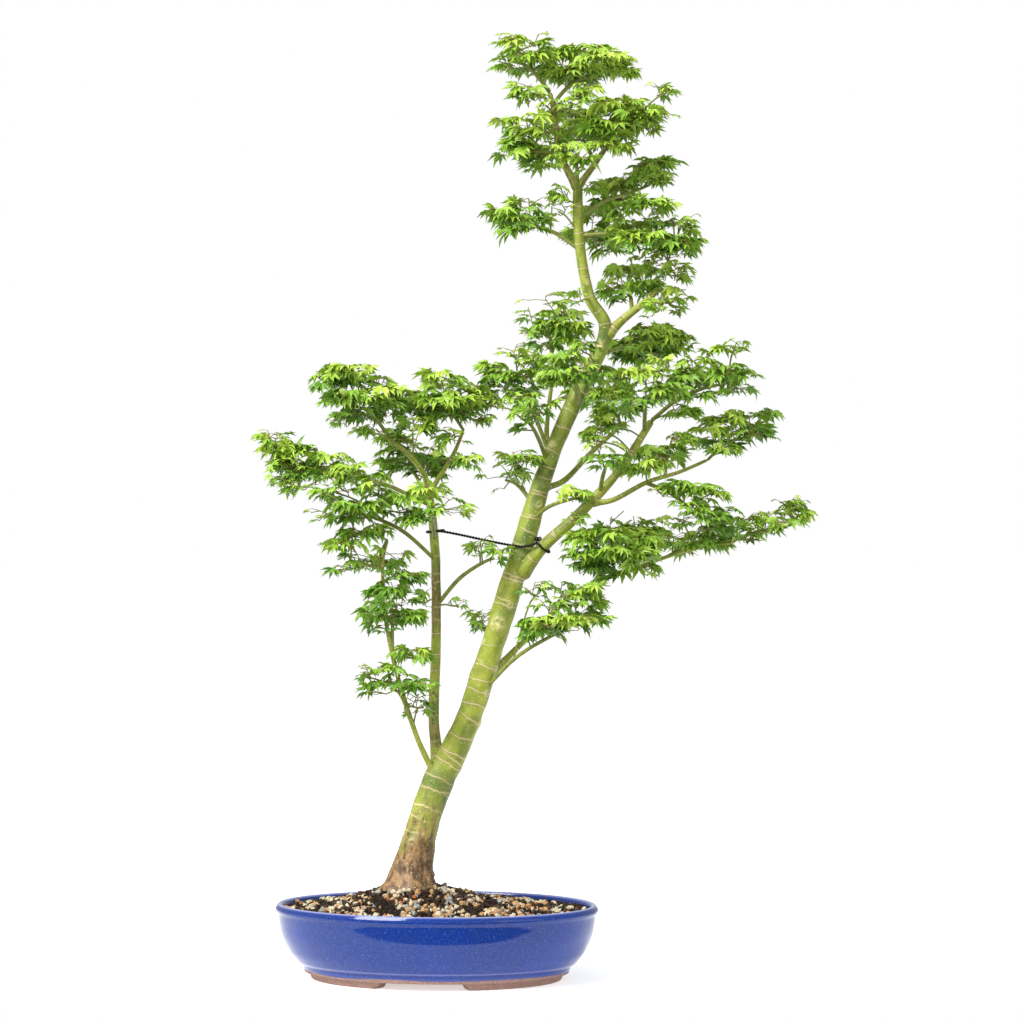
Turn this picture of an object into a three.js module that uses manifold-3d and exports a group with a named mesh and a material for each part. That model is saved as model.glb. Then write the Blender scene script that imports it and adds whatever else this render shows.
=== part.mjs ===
// A lion's-head japanese maple, grown as a tall two-stemmed bonsai in an oval glazed pot.
// Millimetres, +Z up, front towards -Y. It is drawn about the middle of the pot, with the pot's feet on
// z = 0, and moved at the end so that the origin lies under the middle of the whole plant.
import * as THREE from "three";
import { mergeVertices } from "three/addons/utils/BufferGeometryUtils.js";
import Module from "manifold-3d";

const wasm = await Module();
wasm.setup();

// ---- Driving dimensions ----

const CLEAR = 0.3; // gap between neighbouring solids
const FINEST = 0.05; // detail below this size is dropped where leaves and twigs are fused
const UP = new THREE.Vector3(0, 0, 1);

const POT = {
  length: 374, // of the oval, over the lip
  width: 284,
  height: 86,
  turn: THREE.MathUtils.degToRad(-8), // of the long axis, about +Z
  foot: 8, // height of the feet, and of the flat underside
  floor: 18, // height of the inside floor
  segments: 32,
};
// The bowl's outside from the underside to the lip, then its inside from the lip to the floor:
// [share of half the length, z].
const POT_OUTSIDE = [
  [0.815, POT.foot], [0.836, 15], [0.852, 17], [0.905, 30],
  [0.955, 47], [0.982, 70], [1, 80], [0.99, POT.height],
];
const POT_INSIDE = [[0.955, POT.height], [0.943, 81], [0.925, 48], [0.8, POT.floor]];
const FEET = {
  outside: 0.79, // shares of half the length
  inside: 0.66,
  taper: 0.975, // of the underside
  cutOut: THREE.MathUtils.degToRad(21), // half the angle of the gap between the two feet
  sunk: 1, // into the bowl
  segments: 12,
};
const DRAIN = { radius: 11, apart: 150, sides: 14 };

const SOIL = {
  rim: 80.5, // height at the pot's wall
  seat: 104, // and under the trunk
  seatRadius: 42,
  drop: 1.7, // power of the slope from the seat down to the rim
  rings: 9, // of facets between the wall and the seat
  seatShare: 0.26, // of the way from the middle to the wall, where the ring round the seat is drawn
  heap: [0.9, 2.1], // how far the heaped grains rise over the slope, or sink under it
};

// The root flare: how much wider than the trunk it is, how high it reaches, and its toes' share in it.
const TRUNK_FOOT = { x: -33, y: 0, flare: 0.62, height: 17, toes: 5, toe: 0.16 };

// Limbs, each from where it springs, inside its parent, to its end: [x, y, z, radius] at its bends.
const LIMBS = {
  trunk: {
    sides: 12, step: 30,
    bends: [
      [-34, 0, 100, 21.5], [-24, 0, 147, 19.3], [0, 4, 222, 17.6], [14, 6, 250, 17.3], [31, 8, 284, 14.9],
      [68, 4, 394, 13.5], [101, -4, 502, 13.3], [124, -2, 579, 9.7], [158, 4, 663, 10], [190, 10, 727, 8.2],
      [194, 9, 752, 7.6], [176, 4, 784, 6.4], [164, -4, 850, 6], [162, -4, 914, 5.5],
    ],
  },
  left_stem: {
    sides: 8, step: 42,
    bends: [
      [14, 6, 232, 7.6], [3, 14, 253, 6.9], [-3, 20, 290, 6],
      [-1, 22, 388, 5.7], [-2, 18, 494, 5.3], [-9, 15, 560, 4.7],
    ],
  },
  left_whip: {
    sides: 6, step: 38,
    bends: [
      [2, 2, 226, 4], [-22, -14, 278, 3], [-54, -26, 393, 2.4], [-61, -18, 481, 1.9], [-56, -14, 504, 1.7],
    ],
  },
  right_bough: {
    sides: 8, step: 28,
    bends: [
      [98, -7, 464, 8], [120, -18, 494, 6.9], [157, -26, 528, 6.1],
      [209, -24, 583, 4.6], [247, -12, 641, 3.8],
    ],
  },
  side_bough: {
    sides: 6, step: 28,
    bends: [
      [178, -27, 548, 3.4], [199, -34, 549, 2.9], [241, -30, 570, 2.5],
      [279, -12, 582, 2.1], [312, 0, 596, 1.7],
    ],
  },
  inner_bough: {
    sides: 6, step: 26,
    bends: [[124, 2, 565, 3.7], [145, 22, 571, 3.2], [180, 48, 606, 2.9], [214, 64, 637, 2.3]],
  },
  back_bough: {
    sides: 6, step: 26,
    bends: [[130, 4, 604, 3.6], [127, 28, 625, 2.9], [129, 52, 652, 2.5], [134, 76, 692, 2]],
  },
  front_bough: {
    sides: 6, step: 22,
    bends: [[160, 0, 664, 4.4], [162, -24, 672, 3.4], [158, -52, 684, 2.6]],
  },
  fork_bough: {
    sides: 7, step: 20,
    bends: [[193, 9, 741, 5.4], [214, 10, 758, 4.7], [246, 14, 783, 3.6], [256, 14, 794, 3]],
  },
  lower_bough: {
    sides: 6, step: 32,
    bends: [
      [64, 3, 350, 4.6], [84, 20, 370, 3.5], [130, 46, 414, 2.8], [168, 54, 447, 2.6],
      [235, 34, 473, 2.2], [292, 14, 492, 1.9], [338, 2, 500, 1.6],
    ],
  },
  crown_left: {
    sides: 7, step: 22,
    bends: [
      [160, -4, 915, 4.8], [150, -9, 930, 4.2], [141, -12, 948, 3.7],
      [136, -11, 990, 3.1], [130, -6, 1018, 2.8],
    ],
  },
  crown_right: {
    sides: 6, step: 20,
    bends: [[165, -3, 915, 3.9], [175, 5, 927, 3.5], [185, 10, 941, 3], [195, 12, 955, 2.6]],
  },
  stem_left_top: {
    sides: 6, step: 20,
    bends: [[-11, 14, 561, 3.7], [-14, 8, 578, 3.2], [-35, -8, 605, 2.6], [-51, -16, 616, 2.2]],
  },
  stem_right_top: {
    sides: 6, step: 20,
    bends: [[-6, 16, 561, 3.2], [1, 16, 574, 2.7], [18, 9, 600, 2.3], [31, 3, 630, 1.8]],
  },
};

// Foliage masses: [name, limb, share of the limb's length where its stem springs, middle, reach each way,
// rise of its bed along X].
const MASSES = [
  ["crown_top_left", "crown_left", 1, [97, -14, 1059], [39, 36, 26], 0],
  ["crown_top_right", "crown_left", 0.86, [170, 16, 1047], [60, 50, 30], 0],
  ["crown_right", "crown_right", 1, [214, -16, 984], [61, 48, 32], 0.05],
  ["crown_low_left", "crown_left", 0.3, [110, -20, 959], [47, 42, 39], 0],
  ["crown_low_front", "trunk", 0.97, [160, -62, 936], [32, 34, 23], 0],
  ["crown_back", "crown_right", 0.55, [168, 74, 982], [46, 40, 34], 0],
  ["leader_right_upper", "trunk", 0.95, [229, 40, 916], [67, 42, 27], 0.42],
  ["leader_left", "trunk", 0.91, [102, 6, 876], [48, 38, 25], 0],
  ["leader_right", "trunk", 0.93, [250, -30, 851], [60, 52, 42], -0.1],
  ["leader_back", "trunk", 0.92, [190, 84, 862], [42, 42, 32], 0],
  ["fork_inner", "fork_bough", 0.5, [224, 50, 799], [42, 40, 28], 0.1],
  ["fork_right", "fork_bough", 1, [272, 0, 776], [30, 30, 20], 0],
  ["back_left", "back_bough", 1, [132, 101, 756], [46, 54, 39], 0],
  ["left_upper", "trunk", 0.61, [92, 6, 694], [45, 46, 30], 0],
  ["front_upper", "front_bough", 1, [155, -86, 691], [38, 40, 25], 0],
  ["left_lower", "trunk", 0.6, [105, -46, 649], [33, 38, 30], 0],
  ["middle_back", "back_bough", 0.7, [190, 128, 680], [46, 44, 36], 0],
  ["right_back", "trunk", 0.76, [247, 80, 730], [52, 50, 27], 0],
  ["right_outer", "right_bough", 1, [313, -2, 692], [54, 46, 40], 0.1],
  ["right_front", "right_bough", 0.93, [238, -66, 674], [43, 46, 28], 0],
  ["inner_right", "inner_bough", 1, [208, 76, 657], [34, 34, 22], 0],
  ["right_far", "side_bough", 1, [345, 10, 627], [52, 36, 24], 0.15],
  ["right_under", "side_bough", 0.62, [267, 50, 607], [44, 38, 21], 0.15],
  ["left_small", "trunk", 0.54, [87, 30, 579], [32, 32, 25], 0],
  ["front_sprig", "right_bough", 0.56, [194, -72, 596], [33, 30, 19], 0],
  ["fork_sprig", "trunk", 0.52, [152, -46, 555], [24, 22, 14], 0],
  ["right_hanging", "side_bough", 0.45, [303, -62, 537], [48, 34, 35], -0.3],
  ["low_tip", "lower_bough", 1, [391, 2, 522], [47, 28, 20], 0.25],
  ["low_right", "lower_bough", 0.77, [303, 26, 502], [44, 38, 23], 0.1],
  ["low_middle", "lower_bough", 0.51, [203, -26, 490], [62, 52, 34], 0.1],
  ["low_back", "lower_bough", 0.5, [222, 96, 512], [52, 42, 28], 0],
  ["low_front", "trunk", 0.27, [150, -46, 416], [66, 40, 32], 0.45],
  ["stem_top_right", "stem_right_top", 1, [12, -2, 662], [57, 50, 33], 0],
  ["stem_top_left", "stem_left_top", 1, [-83, -24, 666], [58, 50, 37], -0.1],
  ["stem_far_left", "left_stem", 0.95, [-148, 20, 589], [62, 38, 28], -0.15],
  ["stem_back", "left_stem", 0.9, [-30, 78, 596], [52, 44, 36], 0],
  ["stem_mid_left", "left_stem", 0.76, [-88, -46, 549], [48, 44, 42], 0],
  ["stem_mid_front", "left_stem", 0.83, [-5, -44, 541], [42, 36, 26], 0],
  ["whip_top", "left_whip", 1, [-70, -22, 477], [63, 34, 22], -0.3],
  ["whip_low", "left_whip", 0.54, [-51, -26, 422], [46, 40, 29], 0],
  ["whip_foot", "left_whip", 0.28, [-44, -44, 341], [46, 30, 25], 0],
  ["stem_sprig", "left_stem", 0.6, [59, -28, 488], [24, 20, 18], 0],
  ["trunk_sprig", "trunk", 0.35, [50, 34, 408], [22, 20, 13], 0],
];

const GROWTH = {
  bedPerLeaf: 390, // mm2 of a mass's bed for each leaf
  fewest: 3, // leaves of a mass
  spread: 0.6, // of the outermost leaf's root, as a share of the reach
  upper: 0.84, // height of every other leaf
  lower: 0.02,
  dome: 0.5, // how far the bed falls towards its edge
  jitter: 0.22,
  detour: 0.35, // what a millimetre of way back to the limb counts for when a leaf picks its bud
};
const STEM = {
  sides: 3,
  steps: 4,
  foot: 2.4, // radius where it springs, at most
  ofLimb: 0.8, // that radius on a thin limb, as a share of the limb's
  tip: 1.5,
  heart: -0.25, // height of the mass's heart, which the stem makes for
  past: 0.4, // how far it runs on past the middle
  budEvery: 9,
  lean: 0.1, // of the heart towards the limb
  bows: [ // [up, aside], as shares of its length, the first choice first
    [0.08, 0], [-0.1, 0], [0, 0.15], [0, -0.15], [0.2, 0.2], [0.2, -0.2], [-0.2, 0.2], [-0.2, -0.2],
  ],
};
const TWIG = {
  thinner: 0.42, // radius at its foot, as a share of what bears it
  thinnest: 0.55,
  tip: 0.75,
  buds: [0.35, 0.7], // where it bears twigs of its own
  upright: 0.35, // a twig nearer to plumb than this bears no leaf
};
const LEAF = {
  longest: [58, 36, 24], // larger than life, as each stands for a few; a touching one is tried smaller
  shortest: 10,
  // [degrees from the middle lobe, share of its length]
  lobes: [[-84, 0.78], [-42, 0.94], [0, 1], [42, 0.94], [84, 0.78]],
  notch: 0.58, // depth of the cut between two lobes
  hang: 0.16, // of the lobes' tips below the notches
  thickness: 1.5, // over the root
  droop: 0.3, // slope of a leaf over the middle of the bed
  edgeDroop: 0.7, // added to it at the edge
};

// The strap runs from a slack loop round the left stem, across the front of the trunk, to a turn round the
// right bough. Turn 0 is on a limb's left, 0.25 in front of it and 0.5 on its right.
const TIE = {
  radius: 1.6,
  sides: 4,
  steps: 42,
  stepsPerTurn: 8,
  sag: 0.7, // of its straight steps inside the round
  stem: { limb: "left_stem", share: 0.83, from: 0.5, turns: 0.85, bears: 0, slack: 4.4 },
  front: { share: 0.49, clear: 1.5, droop: 3 }, // where it crosses the trunk
  bough: { limb: "right_bough", share: 0.18, from: 0.15, turns: 0.75, bears: 0.5, slack: 2.6 },
};

const LOOKS = {
  glaze: { color: "#1f47b0", roughness: 0.15 },
  soil: { color: "#6b5540", roughness: 1 },
  bark: { color: "#9aa648", roughness: 0.7 },
  leaf: { color: "#5a9a2c", roughness: 0.6 },
  strap: { color: "#141414", roughness: 0.6 },
};

// ---- Solids ----

const vector = (at) => new THREE.Vector3(at[0], at[1], at[2]);

// A closed three.js geometry as a manifold-3d solid.
function solidOf(geometry) {
  const bare = geometry.clone();
  bare.deleteAttribute("normal");
  bare.deleteAttribute("uv");
  const merged = mergeVertices(bare, 1e-3);
  const vertProperties = new Float32Array(merged.attributes.position.array);
  const triVerts = new Uint32Array(merged.index.array);
  return new wasm.Manifold(new wasm.Mesh({ numProp: 3, vertProperties, triVerts }));
}

function geometryOf(solid) {
  const { vertProperties, triVerts } = solid.getMesh();
  return new THREE.BufferGeometry()
    .setAttribute("position", new THREE.BufferAttribute(vertProperties, 3))
    .setIndex(new THREE.BufferAttribute(triVerts, 1));
}

// The largest of a solid's bodies, so that no scrap is left of a cut.
function mainBody(solid) {
  return solid.decompose().reduce((most, body) => (body.volume() > most.volume() ? body : most));
}

function touches(solid, others) {
  return others.some((other) => boxesMeet(solid, other) && !solid.intersect(other).isEmpty());
}

function boxesMeet(one, other) {
  const [a, b] = [one.boundingBox(), other.boundingBox()];
  return [0, 1, 2].every((axis) => a.min[axis] <= b.max[axis] && b.min[axis] <= a.max[axis]);
}

function meshOf(name, geometry, look) {
  const mesh = new THREE.Mesh(geometry, new THREE.MeshStandardMaterial({ metalness: 0, ...look }));
  mesh.name = name;
  return mesh;
}

// ---- Pot and soil ----

// A profile of [share of half the length, z] turned into an oval body.
function ovalLathe(profile) {
  const points = profile.map(([share, z]) => new THREE.Vector2((share * POT.length) / 2, z));
  const round = new THREE.LatheGeometry(points, POT.segments).rotateX(Math.PI / 2);
  return round.scale(1, POT.width / POT.length, 1);
}

// One C-shaped foot round an end of the oval, from one cut-out to the other, narrower at the bottom.
function foot(side) {
  const middle = side > 0 ? 0 : Math.PI;
  const half = Math.PI / 2 - FEET.cutOut;
  const arc = (share, from, to) => {
    const [alongX, alongY] = [(share * POT.length) / 2, (share * POT.width) / 2];
    const curve = new THREE.EllipseCurve(0, 0, alongX, alongY, middle + from, middle + to, from > to);
    return curve.getPoints(FEET.segments);
  };
  const outline = new THREE.Shape([...arc(FEET.outside, -half, half), ...arc(FEET.inside, half, -half)]);
  const depth = POT.foot + FEET.sunk;
  const block = new THREE.ExtrudeGeometry(outline, { depth, steps: 1, bevelEnabled: false });
  const at = block.attributes.position;
  for (let i = 0; i < at.count; i++)
    if (at.getZ(i) < depth / 2) at.setXY(i, at.getX(i) * FEET.taper, at.getY(i) * FEET.taper);
  return block;
}

function drainHole(side) {
  return new THREE.CylinderGeometry(DRAIN.radius, DRAIN.radius, POT.floor * 2, DRAIN.sides)
    .rotateX(Math.PI / 2)
    .translate((side * DRAIN.apart) / 2, 0, POT.floor);
}

function potSolid() {
  const bowl = solidOf(ovalLathe([[0, POT.foot], ...POT_OUTSIDE, ...POT_INSIDE, [0, POT.floor]]));
  const withFeet = [-1, 1].reduce((pot, side) => pot.add(solidOf(foot(side))), bowl);
  return [-1, 1].reduce((pot, side) => pot.subtract(solidOf(drainHole(side))), withFeet);
}

// The soil fills the bowl and rises from just under the lip to the flat seat round the trunk. Between the
// two its grains lie heaped: every other corner stands over the slope, and those beside it lie under it.
function soilGeometry() {
  const inset = (2 * CLEAR) / POT.length;
  const wallShare = POT_INSIDE[1][0] - inset;
  const below = POT_INSIDE.slice(2).reverse().map(([share, z]) => [share - inset, z + CLEAR]);
  const shares = Array.from({ length: SOIL.rings + 1 },
    (_, i) => THREE.MathUtils.lerp(1, SOIL.seatShare, i / SOIL.rings));
  const ground = shares.map((share) => [share * wallShare, SOIL.rim]);
  const profile = [[0, POT.floor + CLEAR], ...below, ...ground, [0, SOIL.rim]];
  const body = ovalLathe(profile);
  const at = body.attributes.position;
  const edge = (wallShare * POT.length) / 2;
  const foot = new THREE.Vector2(TRUNK_FOOT.x, TRUNK_FOOT.y).rotateAround(new THREE.Vector2(), -POT.turn);
  const random = randomFrom(0);
  const heaps = Array.from({ length: POT.segments * profile.length },
    () => THREE.MathUtils.lerp(...SOIL.heap, random()));
  for (let i = 0; i < at.count; i++) {
    if (at.getZ(i) < SOIL.rim - CLEAR) continue;
    const x = at.getX(i);
    const y = (at.getY(i) * POT.length) / POT.width;
    const share = Math.hypot(x, y) / edge;
    const outward = THREE.MathUtils.clamp((share - SOIL.seatShare) / (1 - SOIL.seatShare), 0, 1);
    const inward = Math.min(1, share / SOIL.seatShare);
    const way = share > 0 ? [x / (share * edge), y / (share * edge)] : [0, 0];
    const seat = foot.clone().add(new THREE.Vector2(...way).multiplyScalar(SOIL.seatRadius * inward));
    const wall = new THREE.Vector2(way[0] * edge, (way[1] * edge * POT.width) / POT.length);
    const place = seat.lerp(wall, outward);
    const mound = (SOIL.seat - CLEAR - SOIL.rim) * (1 - outward) ** SOIL.drop;
    const [segment, row] = [Math.floor(i / profile.length) % POT.segments, i % profile.length];
    const onSlope = outward > FINEST && outward < 1 - FINEST;
    const heap = onSlope ? heaps[segment * profile.length + row] * ((segment + row) % 2 ? 1 : -1) : 0;
    at.setXYZ(i, place.x, place.y, SOIL.rim + mound + heap);
  }
  return body;
}

// ---- Limbs ----

// A limb's smooth middle line, with the radius at any share of its length.
function routeOf(limb, grow = 0) {
  const curve = new THREE.CatmullRomCurve3(limb.bends.map(vector), false, "centripetal");
  const radiusAt = (share) => {
    const place = curve.getUtoTmapping(share) * (limb.bends.length - 1);
    const before = Math.min(Math.floor(place), limb.bends.length - 2);
    return grow + THREE.MathUtils.lerp(limb.bends[before][3], limb.bends[before + 1][3], place - before);
  };
  return { curve, radiusAt, length: curve.getLength() };
}

// A round section carried along the limb while it tapers. A grown copy is larger all over, its ends included.
function limbGeometry(limb, grow = 0) {
  const { curve, radiusAt, length } = routeOf(limb, grow);
  const steps = limb.steps ?? Math.max(2, Math.round(length / limb.step));
  const frames = curve.computeFrenetFrames(steps, false);
  const tube = new THREE.CylinderGeometry(1, 1, 1, limb.sides, steps);
  const at = tube.attributes.position;
  for (let i = 0; i < at.count; i++) {
    const share = at.getY(i) + 0.5;
    const step = Math.round(share * steps);
    const radius = radiusAt(share);
    const end = share < 1e-6 ? -grow : share > 1 - 1e-6 ? grow : 0;
    const place = curve.getPointAt(share)
      .addScaledVector(frames.binormals[step], at.getX(i) * radius)
      .addScaledVector(frames.normals[step], at.getZ(i) * radius)
      .addScaledVector(frames.tangents[step], end);
    at.setXYZ(i, place.x, place.y, place.z);
  }
  return tube;
}

// The root flare: near the soil the trunk widens into a few blunt toes.
function flared(geometry) {
  const at = geometry.attributes.position;
  for (let i = 0; i < at.count; i++) {
    const [x, y] = [at.getX(i) - TRUNK_FOOT.x, at.getY(i) - TRUNK_FOOT.y];
    const nearness = Math.exp(-Math.max(0, at.getZ(i) - SOIL.seat) / TRUNK_FOOT.height);
    const toe = 1 + TRUNK_FOOT.toe * Math.cos(TRUNK_FOOT.toes * Math.atan2(y, x));
    const widen = 1 + TRUNK_FOOT.flare * nearness * toe;
    at.setXY(i, TRUNK_FOOT.x + x * widen, TRUNK_FOOT.y + y * widen);
  }
  return geometry;
}

// The trunk, flared at its foot and cut flat where it meets the soil.
function trunkSolid(grow) {
  const body = solidOf(flared(limbGeometry(LIMBS.trunk, grow)));
  return body.trimByPlane([0, 0, 1], SOIL.seat - grow);
}

// Each limb springs from inside its parent and is cut clear of it.
function limbSolids() {
  const solids = {};
  const grown = {};
  for (const [name, limb] of Object.entries(LIMBS)) {
    const build = name === "trunk" ? trunkSolid : (grow) => solidOf(limbGeometry(limb, grow));
    const others = Object.values(grown);
    solids[name] = mainBody(others.reduce((body, other) => body.subtract(other), build(0)));
    grown[name] = build(CLEAR);
  }
  return { solids, grown };
}

// ---- Foliage ----

// A repeatable stream of numbers from 0 to 1 (mulberry32).
function randomFrom(seed) {
  let state = seed;
  return () => {
    state = (state + 0x6d2b79f5) | 0;
    let mixed = Math.imul(state ^ (state >>> 15), 1 | state);
    mixed = (mixed + Math.imul(mixed ^ (mixed >>> 7), 61 | mixed)) ^ mixed;
    return ((mixed ^ (mixed >>> 14)) >>> 0) / 4294967296;
  };
}

// A mass as its own space: an ellipsoid round its middle, sheared up or down along X by its rise. offset()
// takes a point into the space, in shares of the reach, place() takes one out, and depth() is 1 at the rim.
function spaceOf([name, limb, share, middle, reach, rise]) {
  const centre = vector(middle);
  const offset = (point) => {
    const away = point.clone().sub(centre);
    away.z -= rise * away.x;
    return away.divide(vector(reach));
  };
  const place = (x, y, z) => {
    const away = new THREE.Vector3(x, y, z).multiply(vector(reach));
    away.z += rise * away.x;
    return away.add(centre);
  };
  return { name, limb, share, centre, reach, offset, place, depth: (point) => offset(point).length() };
}

// How far a leaf can run from a point before it leaves the space.
function roomAlong(space, from, way) {
  const start = space.offset(from);
  const step = space.offset(from.clone().add(way)).sub(start);
  const [a, b, c] = [step.dot(step), start.dot(step), start.dot(start) - 1];
  return c > 0 ? 0 : (-b + Math.sqrt(b * b - a * c)) / a;
}

// Where the leaves sit: a sunflower spiral over a domed bed, every other one on a lower storey.
function leafSites(space, random) {
  const bed = space.reach[0] * space.reach[1];
  const count = Math.max(GROWTH.fewest, Math.round(bed / GROWTH.bedPerLeaf));
  const turn = random() * 2 * Math.PI;
  const golden = Math.PI * (3 - Math.sqrt(5));
  return Array.from({ length: count }, (_, i) => {
    const out = GROWTH.spread * Math.sqrt((i + 0.35) / count);
    const storey = i % 2 ? GROWTH.lower : GROWTH.upper;
    const height = storey - GROWTH.dome * out * out + GROWTH.jitter * (random() - 0.5);
    const angle = turn + i * golden;
    return space.place(out * Math.cos(angle), out * Math.sin(angle), height);
  });
}

// The three corners of a twig's section: base left, base right and top.
function section(at, left, lift, radius) {
  const corner = (degrees) => {
    const angle = THREE.MathUtils.degToRad(degrees);
    return at.clone()
      .addScaledVector(left, radius * Math.cos(angle))
      .addScaledVector(lift, radius * Math.sin(angle));
  };
  return [corner(-30), corner(210), corner(90)];
}

// A three-sided twig that ends in a palmate leaf, as one closed body. The leaf's pointed lobes spread round
// the twig's end, each as long as its room in the mass allows, with a notch between two lobes and a crest
// over the root. Null where the leaf has no room.
function leafedTwig(space, bud, site, heart, longest) {
  const way = site.clone().sub(bud.at).normalize();
  const ahead = way.clone().setZ(0).add(site.clone().sub(heart).setZ(0).normalize()).normalize();
  const left = UP.clone().cross(ahead);
  const lift = way.clone().cross(left);
  if (lift.length() < TWIG.upright) return null;
  lift.normalize();
  const droop = LEAF.droop + LEAF.edgeDroop * space.offset(site).setZ(0).length();
  const along = (angle, slope) => ahead.clone().applyAxisAngle(UP, angle).setZ(-slope).normalize();
  const lobes = LEAF.lobes.map(([degrees, share]) => {
    const angle = THREE.MathUtils.degToRad(degrees);
    return { angle, length: Math.min(share * longest, roomAlong(space, site, along(angle, droop))) };
  });
  const middle = lobes[(lobes.length - 1) / 2].length;
  if (middle < LEAF.shortest) return null;
  const outline = [];
  lobes.forEach((lobe, i) => {
    outline.push(along(lobe.angle, droop + LEAF.hang).multiplyScalar(lobe.length).add(site));
    const next = lobes[i + 1];
    const depth = next ? (LEAF.notch * (lobe.length + next.length)) / 2 : 0;
    if (next) outline.push(along((lobe.angle + next.angle) / 2, droop).multiplyScalar(depth).add(site));
  });
  const crest = site.clone().addScaledVector(UP, LEAF.thickness);
  const foot = Math.max(TWIG.thinnest, TWIG.thinner * bud.radius);
  const tip = Math.min(TWIG.tip, foot);
  const twig = [...section(bud.at, left, lift, foot), ...section(site, left, lift, tip)];
  return { solid: solidOf(blade([...twig, crest, ...outline], outline.length)), foot, tip };
}

// Faces of the body above: corners 0 to 2 are the twig's foot, 3 to 5 its end (left, right, top), 6 the
// crest, and the rest the leaf's outline from right to left.
function blade(corners, count) {
  const crest = 6;
  const rim = [4, ...Array.from({ length: count }, (_, i) => crest + 1 + i), 3];
  const faces = [
    [0, 1, 2], [0, 3, 4], [0, 4, 1], [1, 4, 5], [1, 5, 2], [0, 2, 5], [0, 5, 3], [crest, 3, 5], [crest, 5, 4],
  ];
  for (let i = 0; i + 1 < rim.length; i++) faces.push([crest, rim[i], rim[i + 1]]);
  for (let i = 0; i + 2 < rim.length; i++) faces.push([3, rim[i + 1], rim[i]]);
  const places = corners.flatMap((corner) => corner.toArray());
  return new THREE.BufferGeometry()
    .setAttribute("position", new THREE.Float32BufferAttribute(places, 3))
    .setIndex(faces.flat());
}

// The stem of a mass, from inside its limb through the heart of the mass, on the first bow that is clear.
function stemOf(space, grown, others) {
  const parent = routeOf(LIMBS[space.limb]);
  const root = parent.curve.getPointAt(space.share);
  const inward = space.offset(root).setZ(0).normalize().negate();
  const heart = space.place(0, 0, STEM.heart).lerp(root, STEM.lean);
  const end = space.place(STEM.past * inward.x, STEM.past * inward.y, STEM.heart);
  const span = root.distanceTo(heart);
  const level = heart.clone().sub(root).cross(UP).normalize();
  const foot = Math.min(STEM.foot, STEM.ofLimb * parent.radiusAt(space.share) + CLEAR);
  const limbs = Object.keys(grown).filter((name) => name !== space.limb).map((name) => grown[name]);
  for (const [up, aside] of STEM.bows) {
    const knee = root.clone().add(heart).multiplyScalar(1 / 2)
      .addScaledVector(UP, up * span)
      .addScaledVector(level, aside * span);
    const bends = [[root, foot], [knee, foot], [heart, (foot + STEM.tip) / 2], [end, STEM.tip]]
      .map(([at, radius]) => [...at.toArray(), radius]);
    const limb = { bends, sides: STEM.sides, steps: STEM.steps };
    const solid = mainBody(solidOf(limbGeometry(limb)).subtract(grown[space.limb]));
    if (!touches(solid, [...limbs, ...others])) return { solid, heart, buds: budsAlong(limb, space) };
  }
  throw new Error(space.name + ": no clear way for its stem");
}

// Buds at even steps along a stem, once it is inside its mass.
function budsAlong(limb, space) {
  const { curve, radiusAt, length } = routeOf(limb);
  const steps = limb.steps;
  const rings = Array.from({ length: steps + 1 }, (_, i) => curve.getPointAt(i / steps));
  const count = Math.floor(length / STEM.budEvery);
  return Array.from({ length: count }, (_, i) => {
    const share = (i + 1) / (count + 1);
    const ring = Math.min(Math.floor(share * steps), steps - 1);
    const at = rings[ring].clone().lerp(rings[ring + 1], share * steps - ring); // on the faceted stem's axis
    return { at, radius: radiusAt(share), way: share * length };
  }).filter((bud) => space.depth(bud.at) < 1);
}

// A mass: its stem, then leafed twigs, the nearest leaf first, each from the free bud that gives it the
// shortest way. A twig bears buds of its own. One that has no room in its space, or would touch a limb or
// another mass, is skipped.
function massSolid(space, spaces, grown, others, seed) {
  const random = randomFrom(seed);
  const { solid, heart, buds } = stemOf(space, grown, others);
  const obstacles = [...Object.values(grown), ...others];
  const isOwn = (point) => spaces.every((other) => other.depth(point) >= space.depth(point));
  const pieces = [solid];
  const sites = leafSites(space, random).sort((a, b) => a.distanceTo(heart) - b.distanceTo(heart));
  for (const site of sites.filter(isOwn)) {
    const cost = (bud) => bud.at.distanceTo(site) + GROWTH.detour * bud.way;
    const bud = buds.reduce((best, other) => (cost(other) < cost(best) ? other : best));
    const sizes = LEAF.longest.map((longest) => leafedTwig(space, bud, site, heart, longest));
    const twig = sizes.find((size) => size && !touches(size.solid, obstacles));
    if (!twig) continue;
    pieces.push(twig.solid);
    buds.splice(buds.indexOf(bud), 1);
    const length = bud.at.distanceTo(site);
    for (const share of TWIG.buds)
      buds.push({
        at: bud.at.clone().lerp(site, share),
        radius: THREE.MathUtils.lerp(twig.foot, twig.tip, share),
        way: bud.way + share * length,
      });
  }
  return mainBody(wasm.Manifold.union(pieces).simplify(FINEST));
}

function massSolids(grown, tie) {
  const spaces = MASSES.map(spaceOf);
  const masses = [];
  spaces.forEach((space, i) => masses.push(massSolid(space, spaces, grown, [tie, ...masses], i + 1)));
  return masses;
}

// ---- Training tie ----

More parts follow.
